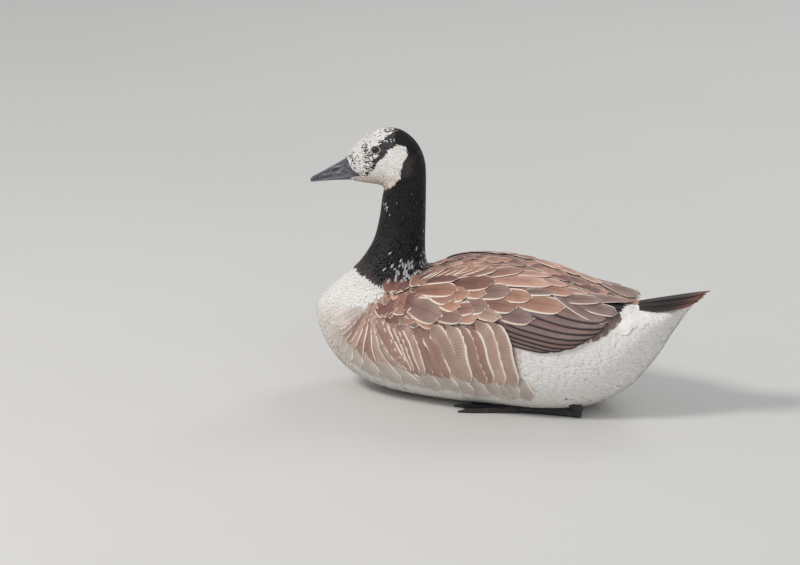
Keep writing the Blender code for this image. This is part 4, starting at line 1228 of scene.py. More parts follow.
SCAPULARS = (
    (9.66, 27.5, 9.39, 24.4, 6, "maroon", 1.3), (9.49, 27.3, 9.19, 24.2, 6, "red_brown", 1.3),
    (9.27, 26.3, 9.02, 22.4, 6.5, "red_brown", 1.3),
    (9.04, 26.0, 8.77, 22.0, 7, "maroon", 1.3), (8.79, 26.5, 8.46, 22.3, 7.5, "red_brown", 1.4),
    (8.58, 25.6, 8.25, 18.3, 8, "rust", 1.4),
    (8.37, 24.7, 7.95, 19.4, 8.5, "red_brown", 1.4), (8.08, 23.3, 7.62, 15.6, 9, "rust", 1.5),
    (7.73, 24.8, 7.27, 18.4, 9, "red_brown", 1.5),
    (7.22, 21.8, 6.55, 12.5, 12, "red_brown", 1.6), (6.52, 15.8, 5.77, 9.0, 9, "pale_rust", 1.5),
    (5.81, 17.6, 5.19, 14.7, 9, "pale_rust", 1.4),
    (5.12, 20.2, 4.45, 15.7, 8, "pale_rust", 1.4), (9.26, 35.6, 8.30, 34.4, 8, "maroon", 1.6),
    (8.09, 38.0, 7.15, 33.6, 13, "maroon", 1.7),
    (6.92, 30.0, 5.57, 20.4, 12, "pale_rust", 1.7), (5.70, 26.4, 4.88, 23.0, 11, "rust", 1.5),
    (5.96, 34.3, 5.46, 30.0, 7, "grey_brown", 1.8),
    (4.95, 30.2, 4.43, 27.1, 5.5, "rust", 1.3), (9.13, 44.9, 8.17, 44.7, 11, "red_brown", 1.8),
    (8.78, 47.0, 8.12, 51.1, 15, "red_brown", 1.8),
    (8.15, 47.0, 7.76, 46.4, 12, "rust", 1.7), (7.65, 44.6, 7.27, 45.1, 10, "rust", 1.6),
    (7.22, 42.4, 6.61, 38.7, 12, "grey_brown", 1.7),
    (6.71, 42.7, 6.01, 41.1, 10, "rust", 1.5),
)
COVERTS = (
    (8.36, 54.3, 7.91, 57.6, 11, "rust", 1.7), (7.87, 58.3, 7.46, 56.6, 9, "red_brown", 1.6),
    (7.56, 55.3, 7.13, 54.4, 11, "grey_brown", 1.6),
    (7.03, 51.4, 6.37, 51.9, 11, "red_brown", 1.6), (6.25, 45.1, 5.06, 42.1, 12.5, "rust", 1.7),
    (9.28, 59.1, 8.36, 65.2, 16, "grey_brown", 1.8),
    (8.34, 63.1, 7.74, 63.0, 12, "grey_brown", 1.7), (7.76, 63.1, 7.33, 62.6, 10, "pale_rust", 1.5),
    (7.35, 58.4, 6.72, 60.6, 10, "flank_pale", 1.5),
    (6.52, 57.5, 5.82, 56.5, 11, "remex", 1.6), (8.91, 68.6, 8.56, 72.0, 9, "rust", 1.6),
)
SIDE_FEATHERS = (
    (12.30, 48.9, 11.4, 46.3, 14, "maroon", 1.3), (12.0, 43.8, 10.88, 42.5, 15, "maroon", 1.4),
    (11.4, 33.9, 10.09, 39.2, 15, "maroon", 1.4),
    (10.6, 26.2, 9.62, 39.2, 13, "red_brown", 1.4), (9.95, 29.8, 9.33, 39.2, 11, "red_brown", 1.5),
    (11.49, 63.1, 10.54, 63.4, 13, "maroon", 1.4),
    (11.57, 59.5, 10.22, 61.0, 15, "maroon", 1.4), (11.32, 54.6, 10.03, 57.4, 17, "red_brown", 1.5),
    (10.39, 53.5, 9.64, 58.4, 16.5, "red_brown", 1.5),
    (10.16, 52.5, 9.46, 57.4, 17.5, "maroon", 1.5), (9.71, 52.3, 9.15, 57.6, 17, "red_brown", 1.5),
    (9.45, 51.0, 8.91, 56.2, 17, "red_brown", 1.6),
)
SECONDARIES = (
    (6.10, 75, 5.25, 77.5, 9), (6.15, 72, 4.92, 76, 9), (6.15, 69, 4.55, 73.5, 9), (6.10, 66, 4.28, 70, 9),
    (6.00, 62, 3.98, 66, 9.5),
    (5.85, 57, 3.72, 61, 9.5), (5.60, 51, 3.60, 57, 9.5), (5.30, 45, 3.62, 52, 9),
)
PRIMARIES = ((4.6, 40, 3.06, 38.5, 8), (4.5, 36, 2.98, 33, 8), (4.4, 32, 2.93, 28, 8), (4.3, 27, 2.9, 22, 8))
TERTIALS = (
    (5.00, 36, 3.60, 55, 8, "remex", 0.9), (4.45, 35, 3.22, 44, 9, "remex", 1.0),
    (4.26, 22.5, 2.76, 8, 13, "grey_brown", 1.0),
    (4.57, 29.0, 3.84, 25, 10, "grey_brown", 1.4),
)


def feather_rows(table, side):
    """Station and turn, in radians, of where each feather shows first and of its tip."""
    rows = np.array([row[:4] for row in table], float)
    start, end = rows[:, :2].copy(), rows[:, 2:4].copy()
    for place in (start, end):
        place[:, 1] = np.radians(place[:, 1]) * side
    return start, end


def hero_lines(start, end, root_length, rows):
    """Lines from roots hidden root_length metres in front of start to the tips at end."""
    a = section_point(BODY_ROWS, start[:, 0], start[:, 1])
    b = section_point(BODY_ROWS, end[:, 0], end[:, 1])
    extra = root_length / np.linalg.norm(b - a, axis=1)
    root = start - (end - start) * extra[:, None]
    line = root[:, None] + (end - root)[:, None] * rows[None, :, None]
    return line[..., 0], line[..., 1]


DEEPER = np.array((0.66, 0.60, 0.60))


def vary_tint(names, rng, amount=0.09):
    base = np.array([COLOURS[name] for name in names])
    warm = rng.normal(0, 0.03, (len(names), 1)) * np.array([1.0, 0.2, -0.6])
    return np.clip(base * (1 + rng.normal(0, amount, (len(names), 1)) + warm), 0.003, 0.9)


def edges(names, widths, rng):
    base = np.array([COLOURS[name] for name in names])
    base = base * (1 + rng.normal(0, 0.07, (len(names), 1)))
    return np.column_stack([np.clip(base, 0, 0.9), widths])


def back_filler(plumage, side, rng):
    """The smaller feathers between and under the large ones, all over the back and wing."""

    def inside(station, turn):
        degrees = np.degrees(np.abs((turn + math.pi) % (2 * math.pi) - math.pi))
        own = np.sin(turn) * side >= -0.02
        return (on_back(station, degrees) > np.where(station < 6.4, 9.0, 1.0)) & own & (station > 3.1)

    def spacing(station, turn):
        return np.interp(station, (3, 5, 8, 10.5, 12.3), (11, 11.5, 11, 8.5, 6.0)) * MM

    station, turn = scatter(2.6, 12.6, spacing, inside, 40 + side)
    degrees = np.degrees(np.abs(turn))
    gaps = spacing(station, turn)
    heading = (
        np.interp(station, (3, 5, 7, 9, 10.5, 12.3), (-2, 2, 10, 26, 38, 48))
        * np.interp(degrees, (0, 12, 35), (0.1, 0.6, 1))
    )
    heading = np.radians(heading + rng.normal(0, 4, len(station)))
    length = gaps * rng.uniform(2.5, 2.9, len(station))
    half = gaps * rng.uniform(0.95, 1.15, len(station))
    stations, turns = centre_lines(station, turn, heading, length, BROAD.rows)
    dark = smooth(station, 6.0, 4.8) * smooth(degrees, 30, 45)
    names = rng.choice(
        ("red_brown", "rust", "maroon", "grey_brown", "pale_rust"), len(station), p=(0.34, 0.24, 0.2, 0.14, 0.08)
    )
    tint = vary_tint(names, rng)
    tint = blend(dark, tint, COLOURS["remex"] * 0.8)
    edge = edges(["fringe"] * len(station), rng.uniform(1.2, 1.7, len(station)) * (1 - 0.7 * dark), rng)
    look = {
        "lift_root": -0.9 * MM, "lift_tip": (1.0 + rng.uniform(0, 0.4, len(station))) * MM, "roll": 0.35 * MM,
        "dome": 0.6 * MM,
        "thickness": 0.45 * MM, "droop": 0.5 * MM, "tint": tint, "deep": tint * DEEPER, "edge": edge,
    }
    lay_vanes(plumage, BROAD, stations, turns, half, look)


def back_middle(plumage, rng):
    """Feathers down the middle of the back, over the join of its two sides."""
    station = np.arange(3.5, 11.25, 0.24)
    turn = np.radians(rng.normal(0, 2.2, len(station)))
    length = np.interp(station, (3.5, 8, 11.2), (34, 31, 20)) * MM
    stations, turns = centre_lines(station, turn, np.radians(rng.normal(0, 5, len(station))), length, BROAD.rows)
    tint = vary_tint(rng.choice(("red_brown", "rust", "maroon"), len(station)), rng)
    look = {
        "lift_root": 0.2 * MM, "lift_tip": 2.9 * MM, "roll": 0.0, "dome": 1.1 * MM, "thickness": 0.45 * MM, "droop": 0.9 * MM,
        "tint": tint, "deep": tint * DEEPER,
        "edge": edges(["fringe"] * len(station), np.full(len(station), 1.5), rng),
    }
    lay_vanes(plumage, BROAD, stations, turns, np.interp(station, (3.5, 8, 11.2), (11, 12, 8)) * MM, look)


def lay_table(
    plumage, table, side, rng, shape, root_length, lift_root, lift_tip, roll, dome, step=0.0, names=None, fringe=None,
    fringe_name="fringe", width_scale=1.0
):
    start, end = feather_rows(table, side)
    jitter = rng.normal(0, 1, (len(table), 4)) * (0.012, 0.25, 0.02, 0.5) * (0.4 if side > 0 else 1.6)
    start += np.column_stack([jitter[:, 0], np.radians(jitter[:, 1])])
    end += np.column_stack([jitter[:, 2], np.radians(jitter[:, 3])])
    stations, turns = hero_lines(start, end, root_length, shape.rows)
    half = np.array([row[4] for row in table]) * MM * width_scale
    names = names or [row[5] for row in table]
    widths = 1.35 * np.array([row[6] for row in table]) if fringe is None else np.full(len(table), fringe)
    sunk = np.interp(start[:, 0], (10.9, 11.3), (0, 1.8)) * MM
    rank = np.arange(len(table)) * step * MM
    look = {
        "lift_root": lift_root * MM + 0.6 * rank - sunk,
        "lift_tip": (lift_tip + rng.uniform(-0.15, 0.15, len(table))) * MM + rank + (0.35 * MM if side < 0 else 0),
        "roll": roll * MM, "dome": dome * MM, "thickness": 0.6 * MM, "droop": 0.6 * MM,
        "tint": vary_tint(names, rng, 0.05), "edge": edges([fringe_name] * len(table), widths, rng),
    }
    look["deep"] = look["tint"] * DEEPER
    lay_vanes(plumage, shape, stations, turns, half, look)


def make_wings():
    covert = feather_material("wing_plumage", 0.9, 0.15, shaft=0.35, roughness=0.6)
    remex = feather_material("flight_plumage", 0.8, 0.16, shaft=0.5, roughness=0.55, sheen=0.05)
    for side, word in ((1, "left"), (-1, "right")):
        rng = np.random.default_rng(50 + side)
        flight = Plumage()
        lay_table(
            flight, PRIMARIES, side, rng, LONG, 0.05, 0.2, 1.2, 0.7, 0.3, 0.25, ["primary"] * len(PRIMARIES), 0.0
        )
        # the secondaries' edges are painted dark in the primaries' colour: partly their own dark inner vanes, partly
        # painted shadow between the strips
        lay_table(
            flight, SECONDARIES, side, rng, LONG, 0.035, 0.4, 1.4, 1.6, 0.5, 0.4, ["remex"] * len(SECONDARIES), 2.6,
            "primary"
        )
        lay_table(flight, TERTIALS, side, rng, LONG, 0.025, 2.4, 4.6, 0.9, 0.6, 0.2)
        thing = flight.build(f"flight_feathers_{word}", remex)
        settle(thing, "wing_feathers", f"wing_{word}")
        cover = Plumage()
        back_filler(cover, side, rng)
        if side > 0:
            back_middle(cover, rng)
        lay_table(cover, SIDE_FEATHERS, side, rng, BROAD, 0.012, 0.6, 2.9, 0.9, 0.7, -0.1)
        lay_table(cover, COVERTS, side, rng, BROAD, 0.02, 1.2, 3.6, 0.9, 0.9)
        lay_table(cover, SCAPULARS, side, rng, BROAD, 0.022, 1.2, 3.7, 0.8, 0.9)
        thing = cover.build(f"back_feathers_{word}", covert)
        settle(thing, "wing_feathers")


# Fringes down the flank from the breast back to the wing: station and turn at the wing's edge,
# then at the waterline.
FLANK_FRINGES = np.array((
    (12.00, 68, 12.25, 119), (11.90, 69, 11.86, 105), (11.85, 71, 11.53, 98), (11.78, 70, 11.17, 91),
    (11.76, 70, 10.69, 87),
    (11.74, 68, 10.17, 87), (11.60, 65, 9.91, 87), (10.90, 66, 9.61, 87), (10.17, 70, 9.37, 88), (9.87, 72, 9.17, 88),
    (9.41, 72, 8.79, 90), (9.14, 74, 8.53, 89), (8.75, 73, 8.14, 90), (8.53, 70, 7.74, 90), (7.96, 70, 7.48, 91),
    (7.72, 70, 7.16, 90), (7.45, 69, 6.93, 90), (7.13, 64, 6.59, 89), (6.71, 65, 6.22, 89),
))


def flank_line(fringe, turn):
    """Station of a fringe at each turn. Below the waterline it runs down more steeply."""
    share = (turn - fringe[:, 1:2]) / (fringe[:, 3:4] - fringe[:, 1:2])
    run = np.minimum(share, 1) + 0.55 * np.maximum(share - 1, 0)
    bulge = np.interp(fringe[:, 0:1], (6.5, 8.5, 9.5), (0.13, 0.10, 0.0)) * np.sin(math.pi * np.clip(share, 0, 1))
    return fringe[:, 0:1] + (fringe[:, 2:3] - fringe[:, 0:1]) * run - bulge


def make_flanks():
    """Long pale-edged feathers laid down both flanks, each over the one behind it. The hind ones
    lap over the wing's lower edge, and a second row carries on under the belly."""
    material = feather_material("flank_plumage", 0.9, 0.14, shaft=0.15, bars=0.3, roughness=0.68)
    plumage = Plumage()
    front, middle, hind = np.arange(0, 7, 0.5), np.arange(7, 12, 0.72), np.arange(12, 18.4, 0.95)
    for side in (1, -1):
        rng = np.random.default_rng(70 + side)
        places = np.concatenate([front, middle, hind])
        places = places + rng.normal(0, 0.06, len(places)) * (0.5 if side > 0 else 1.0)
        for tier in (1, 0):
            fringe = spline(FLANK_FRINGES, np.clip(places + 0.3 * tier, 0, 18))
            n = len(fringe)
            start = (
                fringe[:, 1:2] + rng.normal(0, 0.5, (n, 1)) if tier == 0 else np.full((n, 1), 99.0)
                + rng.normal(0, 2, (n, 1))
            )
            end = np.maximum(112, fringe[:, 3:4] + 3) if tier == 0 else np.full((n, 1), 131.0)
            end = end + rng.normal(0, 1.5, (n, 1))
            turns = start + (end - start) * STRIP.rows
            stations = flank_line(fringe, turns)
            middle_line = section_point(BODY_ROWS, stations[:, 5], np.radians(turns[:, 5]))
            gap = np.linalg.norm(np.gradient(middle_line, axis=0), axis=1)
            half = 0.5 * gap + (4.5 + 2 * tier) * MM
            turns = np.radians(turns) * side
            _, _, ahead, around = surface(stations, turns)
            ds, dt = steps_for(unit(ahead) * (0.92 * half)[:, None, None], ahead, around)
            stations, turns = stations + ds, turns + dt
            tint = vary_tint(rng.choice(("flank", "flank_pale"), n, p=(0.6, 0.4)), rng, 0.06)
            fade = smooth(fringe[:, 2], 11.3, 12.2)
            tint = blend(0.7 * fade, tint, COLOURS["white"])
            # the lower row under the belly is painted the belly's grey-white: its own white with painted shade of the
            # underside
            tint = blend(np.full(n, 0.8 * tier), tint, COLOURS["belly"])
            edge = edges(["white_fringe"] * n, np.interp(gap / MM, (3, 8, 15), (1.2, 2.2, 3.4)), rng)
            over = np.interp(fringe[:, 0], (8.5, 9.2), (1.0, 0.0)) * (tier == 0)
            look = {
                "lift_root": (4.2 * over - 0.6) * MM,
                "lift_tip": (1.7 - 0.9 * tier + 0.6 * over + rng.uniform(-0.1, 0.1, n)) * MM,
                "roll": -np.interp(gap / MM, (3, 8, 15), (0.6, 0.9, 1.2)) * MM, "dome": 0.09 * half,
                "thickness": 0.5 * MM,
                "droop": 0.9 * MM, "tint": tint, "deep": tint * (0.80, 0.77, 0.76), "edge": edge,
            }
            lay_vanes(plumage, STRIP, stations, turns, half, look)
    thing = plumage.build("flank_feathers", material)
    settle(thing, "body_feathers")


# Tail


def tail_point(along, across, lift):
    """A point of the tail's fan: along runs from root to tip, across from -1 left to 1 right."""
    length = TAIL_LENGTH - TAIL_ROUNDING * across**2
    x = TAIL_ROOT[0] + along * length
    y = across * (TAIL_HALF_ROOT + (TAIL_HALF_TIP - TAIL_HALF_ROOT) * along)
    z = TAIL_ROOT[1] + TAIL_RISE * along * length - TAIL_ARCH * across**2 * (0.3 + 0.7 * along)
    return np.stack([x, y, z], axis=-1) * MM + np.array([0, 0, 1]) * np.asarray(lift)[..., None]


def lay_tail(plumage, across, start, reach, half_width, level, dome, tint, edge, turn_out=0.2):
    """One tail feather: across is its tip's place in the fan, and level its height there in mm."""
    shape = RECTRIX
    u, v = shape.columns[None, :], shape.rows[:, None]
    along = start + v * reach - shape.bow[:, None] * half_width / TAIL_LENGTH * u**2
    middle = across * (1 - turn_out + turn_out * v)
    span = TAIL_HALF_ROOT + (TAIL_HALF_TIP - TAIL_HALF_ROOT) * along
    beside = shape.widths[:, None] * half_width * u
    lift = level * np.minimum(1, 0.35 + 1.3 * v) + dome * (1 - u**2)
    top = tail_point(along, middle + beside / span, lift * MM)
    thick = 0.5 * (1 - 0.75 * np.abs(u)) * (1.1 - 0.5 * v)
    under = tail_point(along, middle + beside / span, (lift - thick) * MM)[1:-1, 1:-1]
    length = TAIL_LENGTH * reach
    vane = np.stack(
        np.broadcast_arrays(beside, length * v + 0 * u, np.minimum(shape.widths[:, None] * half_width * (1 - np.abs(u)), length * (1 - v) * 1.6)),
        -1
    )
    points = np.concatenate([top.reshape(-1, 3), under.reshape(-1, 3)])
    vane = np.concatenate([vane.reshape(-1, 3), vane[1:-1, 1:-1].reshape(-1, 3)])
    shade = smooth(vane[:, 1] / length, 0.74, 0.97)
    colours = blend(shade, np.broadcast_to(tint[0], vane.shape), tint[1])
    # the fan's grid runs the other way round from the body's, so its faces are turned over
    plumage.add(points[None], shape.faces[:, ::-1], vane[None], colours[None], np.array([edge]), [(start, across)])


def make_tail():
    rng = np.random.default_rng(80)
    plumage = Plumage()
    half = 8
    for rank in range(half):
        for side in (-1, 1):
            across = side * (rank + 0.5) / half * 0.97
            tint = vary_tint(["tail", "worn"], rng)
            reach = (1 - 0.02 * rank / half) * rng.uniform(0.965, 1.0)
            level = -(rank + 0.5 * (side < 0)) * 0.9 + rng.normal(0, 0.15)
            edge = (*(0.3 * COLOURS["worn"] + 0.7 * COLOURS["tail"]), 0.6)
            lay_tail(plumage, across, -0.06, reach, 9.2, level, 0.7, tint, edge)
    material = feather_material("tail_plumage", 0.8, 0.2, shaft=0.5, roughness=0.5, sheen=0.05)
    thing = plumage.build("tail_fan", material)
    settle(thing, "tail_feathers", "tail")


def make_tail_coverts():
    """White feathers in a crescent over the root of the tail."""
    rng = np.random.default_rng(82)
    plumage = Plumage()
    for tier, (station, reach) in enumerate(((2.45, 19), (2.75, 20), (3.05, 22), (3.4, 24))):
        turn = np.radians(np.arange(-64, 65, 6.5) + 3.2 * (tier % 2) + rng.normal(0, 0.8, 20))
        n = len(turn)
        stations, turns = centre_lines(
            np.full(n, station) + rng.normal(0, 0.03, n), turn, np.radians(rng.normal(6, 3, n)),
            np.full(n, reach * MM), BROAD.rows
        )
        tint = np.broadcast_to(COLOURS["white"], (n, 3)) * (1 + rng.normal(0, 0.03, (n, 1)))
        look = {
            "lift_root": -0.4 * MM, "lift_tip": (1.3 + 0.35 * tier) * MM, "roll": 0.15 * MM, "dome": 0.5 * MM,
            "thickness": 0.4 * MM, "droop": 0.9 * MM,
            "tint": tint, "edge": np.zeros((n, 4)),
        }
        lay_vanes(plumage, BROAD, stations, turns, 6.8 * MM, look)
    material = feather_material(
        "rump_plumage", 0.8, 0.05, shaft=0.1, fringe=False, roughness=0.7, sheen=0.15, base_shade=0.9
    )
    thing = plumage.build("tail_coverts", material)
    settle(thing, "body_feathers")


# Bill

NOSTRIL = np.array((-233.5, 10.4, 283.0)) * MM


def mouth_turn(rows, station):
    """The turn at which the mouth line lies in each section."""
    row = spline(rows, station)
    widest, lower = row[..., 5], row[..., 7]
    return math.pi - np.arccos(np.clip((widest - MOUTH_SHARE) / widest, 0, 1) ** (lower / 2))


def make_upper_bill():
    """The upper mandible with its nail, nostrils and cutting edge. Behind its root it runs on as
    bare skin over the face to the edge of the feathers and back along the gape."""
    across = np.linspace(-1, 1, 121)
    flange, horn = 14, 150
    rings, tints, grooves = [], [], []
    for k in range(flange):
        share = k / flange
        turn_end = mouth_turn(BODY_ROWS, 27.5)
        turn = across * turn_end
        edge = np.interp(np.degrees(np.abs(turn)), *BILL_EDGE.T)
        station = edge + (LAST - edge) * share
        point, normal, _, _ = surface(station, turn)
        lift = np.interp(share, (0, 0.12, 0.4, 1), (-0.9, 0.1, 0.35, 0.3)) * MM
        rings.append(point + normal * lift)
        tints.append(np.tile(COLOURS["bill"], (len(across), 1)))
        # the mouth line along the gape is painted dark: painted shade
        grooves.append(smooth(np.abs(across), 0.955, 1.0) * 0.9)
    for k in range(horn):
        station = BILL_LAST * (k / (horn - 1)) ** 0.94
        row_turn = mouth_turn(BILL_ROWS, np.array(station))
        turn = across * row_turn
        point, normal, _, _ = surface(np.full(len(across), station), turn, BILL_ROWS)
        x, y, z = point.T
        away_x, away_z = (x - NOSTRIL[0]) / MM, (z - NOSTRIL[2]) / MM
        run, rise = away_x * 0.94 + away_z * 0.34, away_z * 0.94 - away_x * 0.34
        on_side = smooth(np.abs(y), 2 * MM, 5 * MM)
        basin = np.exp(-((run / 9.5) ** 2) - (rise / 3.6) ** 2) * on_side
        slot = smooth((run / 5.0) ** 2 + (rise / 1.5) ** 2, 1.5, 0.5) * on_side
        roof = np.exp(-(((rise - 2.7) / 0.9) ** 2) - ((run - 3.0) / 8.0) ** 2) * on_side
        crease = np.exp(-(((rise - 4.7) / 0.7) ** 2) - ((run - 4.0) / 9.0) ** 2) * on_side
        nail = smooth(station, 5.05, 5.35) * smooth(np.abs(across), 0.62, 0.5)
        nail_rim = smooth(station, 4.8, 5.1) * smooth(np.abs(across), 0.72, 0.6) - nail
        lip = smooth(np.abs(across), 0.68, 0.84) * smooth(np.abs(across), 0.96, 0.90)
        culmen = np.exp(-((across / 0.13) ** 2)) * smooth(station, 5, 3)
        ripple = 0.12 * noise(point * (0.4, 1, 1), 3.5 * MM, 61) + 0.06 * noise(point, 1.3 * MM, 62)
        lift = (
            0.30 - 0.75 * basin - 1.5 * slot + 0.7 * roof - 0.5 * crease + 0.35 * nail - 0.3 * nail_rim * (nail < 0.5)
            + 0.55 * lip + 0.3 * culmen + ripple
        )
        fold = 0.18 * np.sin(away_z * 1.9 + away_x * 0.5) * smooth(station, 3.2, 1.0) * on_side * (1 - slot)
        rings.append(point + normal * ((lift + fold) * smooth(station, 7.0, 6.4) * MM)[:, None])
        tint = blend(nail, np.tile(COLOURS["bill"], (len(across), 1)), COLOURS["nail"])
        # the lip band, the culmen and the roof over the nostril are painted paler: painted highlights on the horn
        tint = blend(np.clip(0.5 * culmen + 0.6 * lip + 0.9 * roof, 0, 1), tint, COLOURS["bill_highlight"])
        tints.append(tint)
        # painted shade in the nostril slot, its crease, round the nail and along the mouth line
        groove = np.clip(
            slot + 0.45 * basin * 0.3 + 0.6 * np.clip(nail_rim, 0, 1) * (nail < 0.5) + 0.7 * crease + smooth(np.abs(across), 0.93, 0.975),
            0, 1
        )
        grooves.append(groove)
    over = np.array(rings)
    # the palate: each ring closes with points raised between the two cutting edges
    count = 9
    share = np.linspace(0, 1, count + 2)[1:-1]
    first, last = over[:, 0], over[:, -1]
    palate = last[:, None] + (first - last)[:, None] * share[None, :, None]
    depth = 1.5 * MM * np.sin(math.pi * share) * np.linspace(1, 0.2, len(over))[:, None]
    palate[..., 2] += depth
    grid = np.concatenate([over, palate], 1)
    # the palate is painted dark: painted shade inside the mouth
    tint = np.concatenate([np.array(tints), np.tile(COLOURS["dark"], (len(over), count, 1))], 1)
    groove = np.concatenate([np.array(grooves), np.ones((len(over), count))], 1)
    return grid, tint, groove


def tube_faces(rings, around):
    """Triangles of a closed body of rings, with a fan on both ends round two more points."""
    grid = np.arange(rings * around).reshape(rings, around)
    near, far = grid[:-1], grid[1:]
    a, b, c, d = near, np.roll(near, -1, 1), np.roll(far, -1, 1), far
    sides = np.concatenate([np.stack([a, b, c], -1).reshape(-1, 3), np.stack([a, c, d], -1).reshape(-1, 3)])
    start, end = rings * around, rings * around + 1
    caps = np.concatenate([
        np.stack([np.full(around, start), np.roll(grid[0], -1), grid[0]], 1),
        np.stack([np.full(around, end), grid[-1], np.roll(grid[-1], -1)], 1),
    ])
    return np.concatenate([sides, caps])


def ring_object(name, grid, material, turned=False, sharp=None, **attributes):
    """A closed object from a grid of rings, with its attributes given for each point of the grid."""
    rings, around = grid.shape[:2]
    points = np.concatenate([grid.reshape(-1, 3), [grid[0].mean(0)], [grid[-1].mean(0)]])
    faces = tube_faces(rings, around)
    thing = mesh_object(name, points, faces[:, ::-1] if turned else faces, material, sharp)
    for key, values in attributes.items():
        flat = values.reshape(rings * around, -1)
        flat = np.concatenate([flat, flat[:1], flat[-1:]])
        if flat.shape[1] == 3:
            add_attribute(thing, key, "FLOAT_COLOR", flat)
        else:
            add_attribute(thing, key, "FLOAT", flat)
    return thing


def make_bill():
    material = bill_material()
    grid, tint, groove = make_upper_bill()
    upper = ring_object("upper_mandible", grid, material, tint=tint, groove=groove)
    settle(upper, "bill_horn", "bill_upper")

    rings, tints, grooves = [], [], []
    across = np.linspace(-1, 1, 45)
    for k in range(70):
        station = 5.75 * k / 69
        turn_end = mouth_turn(BILL_ROWS, np.array(station))
        turn = math.pi + across * (math.pi - turn_end)
        point, normal, _, _ = surface(np.full(len(across), station), turn, BILL_ROWS)
        ridge = 0.25 * np.cos(across * 9) * smooth(np.abs(across), 0.9, 0.6)
        point = point * (1, 0.93, 1) + normal * ((ridge + 0.1 * noise(point, 2.5 * MM, 63)) * MM)[:, None]
        point[:, 2] -= 0.25 * MM
        rings.append(point)
        # the lower mandible is painted far darker than the upper: painted shade under the upper bill
        tints.append(np.tile(COLOURS["bill"] * 0.35, (len(across), 1)))
        grooves.append(smooth(np.abs(across), 0.93, 1.0) * 0.8)
    over = np.array(rings)
    share = np.linspace(0, 1, 9)[1:-1]
    inner = over[:, -1][:, None] + (over[:, 0] - over[:, -1])[:, None] * share[None, :, None]
    inner[..., 2] -= 0.9 * MM * np.sin(math.pi * share)
    grid = np.concatenate([over, inner], 1)
    # its inside is painted dark: painted shade inside the mouth
    tint = np.concatenate([np.array(tints), np.tile(COLOURS["dark"], (len(over), len(share), 1))], 1)
    groove = np.concatenate([np.array(grooves), np.ones((len(over), len(share)))], 1)
    lower = ring_object("lower_mandible", grid, material, tint=tint, groove=groove)
    settle(lower, "bill_horn", "bill_lower")


# Eyes


def eye_frame():
    """Place of the left eye on the skin, its outward direction, and level and upward directions."""
    at, normal, ahead, _ = surface(np.array(EYE_PLACE[0]), np.array(EYE_PLACE[1]))
    level = unit(-ahead - normal * dot(-ahead, normal))
    return at, normal, level, np.cross(normal, level)


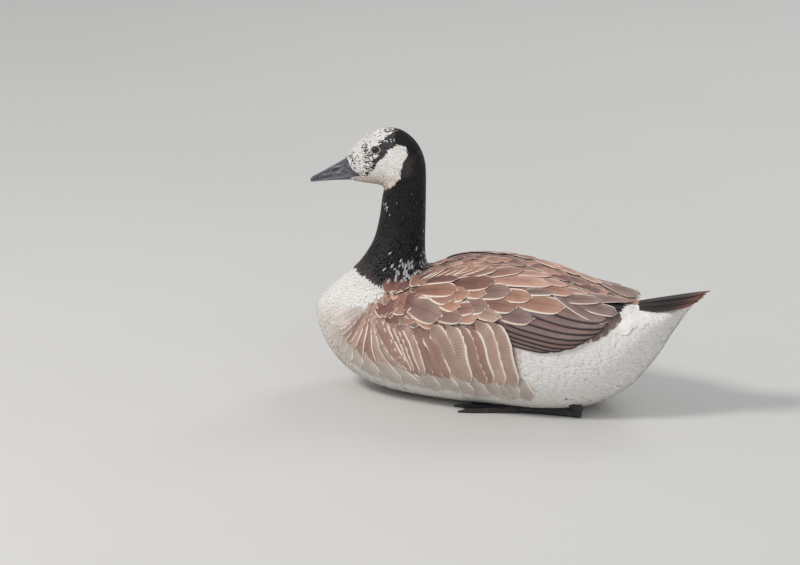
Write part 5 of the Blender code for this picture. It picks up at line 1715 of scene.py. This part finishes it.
def make_eyes():
    at, normal, level, upward = eye_frame()
    centre = at - normal * EYE_DEPTH
    eye, lid = eye_material(), lid_material()
    rings, around = 26, 48
    angles = np.linspace(0, math.pi, rings + 2)[1:-1]
    turns = np.arange(around) / around * 2 * math.pi
    circle = np.cos(turns)[:, None] * level + np.sin(turns)[:, None] * upward
    bulge = 1 + 0.045 * np.exp(-((angles / 0.5) ** 2))
    ball = centre + EYE_RADIUS * bulge[:, None, None] * (
        np.cos(angles)[:, None, None] * normal + np.sin(angles)[:, None, None] * circle
    )
    axis = np.repeat((EYE_RADIUS * np.sin(np.minimum(angles, math.pi / 2)) / MM)[:, None], around, 1)

    # the lids: from a rim sunk in the skin over a soft crest to the wet edge on the eyeball
    almond = (
        np.abs(np.cos(turns)) ** 1.0 * np.sign(np.cos(turns)), np.abs(np.sin(turns)) ** 1.15 * np.sign(np.sin(turns))
    )
    rows = (
        (1.34, -0.9), (1.26, 0.15), (1.15, 0.75), (1.05, 1.0), (0.975, 0.75), (0.945, 0.2), (0.96, -0.6), (1.15, -1.4)
    )
    lids = []
    for scale, height in rows:
        flat = almond[0][:, None] * level * 6.0 * MM * scale + almond[1][:, None] * upward * 4.45 * MM * (
            scale + 0.02
        )
        reach = np.linalg.norm(flat, axis=1)
        dome = np.sqrt(np.maximum(EYE_RADIUS**2 - reach**2, 0)) - EYE_DEPTH
        skin_drop = -(reach**2) / (2 * 27 * MM)
        base = np.where(scale < 1.1, np.maximum(dome, skin_drop), np.maximum(skin_drop, dome * 0.6 + skin_drop * 0.4))
        lids.append(at + flat + normal * (base + height * 0.62 * MM)[:, None])
    lids = np.array(lids)
    ring = np.repeat(np.array([1, 0.9, 0.6, 0.25, 0.0, 0.1, 0.3, 0.6])[:, None], around, 1)
    for side, word in ((1, "left"), (-1, "right")):
        mirror = np.array([1, side, 1])
        thing = ring_object(f"eyeball_{word}", ball * mirror, eye, turned=side > 0, axis=axis)
        settle(thing, "eye", f"eye_{word}")
        rows_count = len(lids)
        grid = np.arange(rows_count * around).reshape(rows_count, around)
        a, b = grid, np.roll(grid, -1, 1)
        c, d = np.roll(b, -1, 0), np.roll(a, -1, 0)
        faces = np.stack([a, b, c, d], -1).reshape(-1, 4)
        thing = mesh_object(f"eyelids_{word}", lids * mirror, faces[:, ::-1] if side < 0 else faces, lid)
        add_attribute(thing, "ring", "FLOAT", ring)
        settle(thing, "head_feathers")


def make_feet():
    material = foot_material("leg_scales", (74, 70, 70))
    for word in ("left", "right"):
        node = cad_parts[f"leg_{word}"]
        node.data.materials.clear()
        node.data.materials.append(material)


def make_studio():
    size = 14.0
    corners = np.array(((-size, -size), (size, -size), (size, size), (-size, size)))
    floor = mesh_object(
        "floor", np.column_stack([corners, np.full(4, -0.3 * MM)]), np.array([(0, 1, 2, 3)]), floor_material()
    )
    lights = (
        ("key", (-1.7, -1.9, 2.9), 1.0, 74, (1.0, 0.97, 0.93)),
        ("fill", (2.4, -2.4, 1.6), 2.2, 12, (0.93, 0.96, 1.0)),
        ("back", (0.8, 2.6, 2.4), 1.8, 24, (1.0, 1.0, 1.0)),
    )
    for name, place, width, power, colour in lights:
        data = bpy.data.lights.new(name, "AREA")
        data.shape, data.size, data.energy, data.color = "DISK", width, power, colour
        light = bpy.data.objects.new(name, data)
        light.location = place
        light.rotation_euler = (Vector((-0.05, 0, 0.12)) - Vector(place)).to_track_quat("-Z", "Y").to_euler()
        bpy.context.scene.collection.objects.link(light)
    world = bpy.data.worlds.new("studio")
    bpy.context.scene.world = world
    world.use_nodes = True
    world.node_tree.nodes["Background"].inputs["Color"].default_value = (0.95, 0.97, 1.0, 1)
    world.node_tree.nodes["Background"].inputs["Strength"].default_value = 0.5
    bpy.context.scene.view_settings.view_transform = "Standard"


make_skin()
make_head_and_neck()
make_body_feathers()
make_wings()
make_flanks()
make_tail()
make_tail_coverts()
make_bill()
make_eyes()
make_feet()
make_studio()
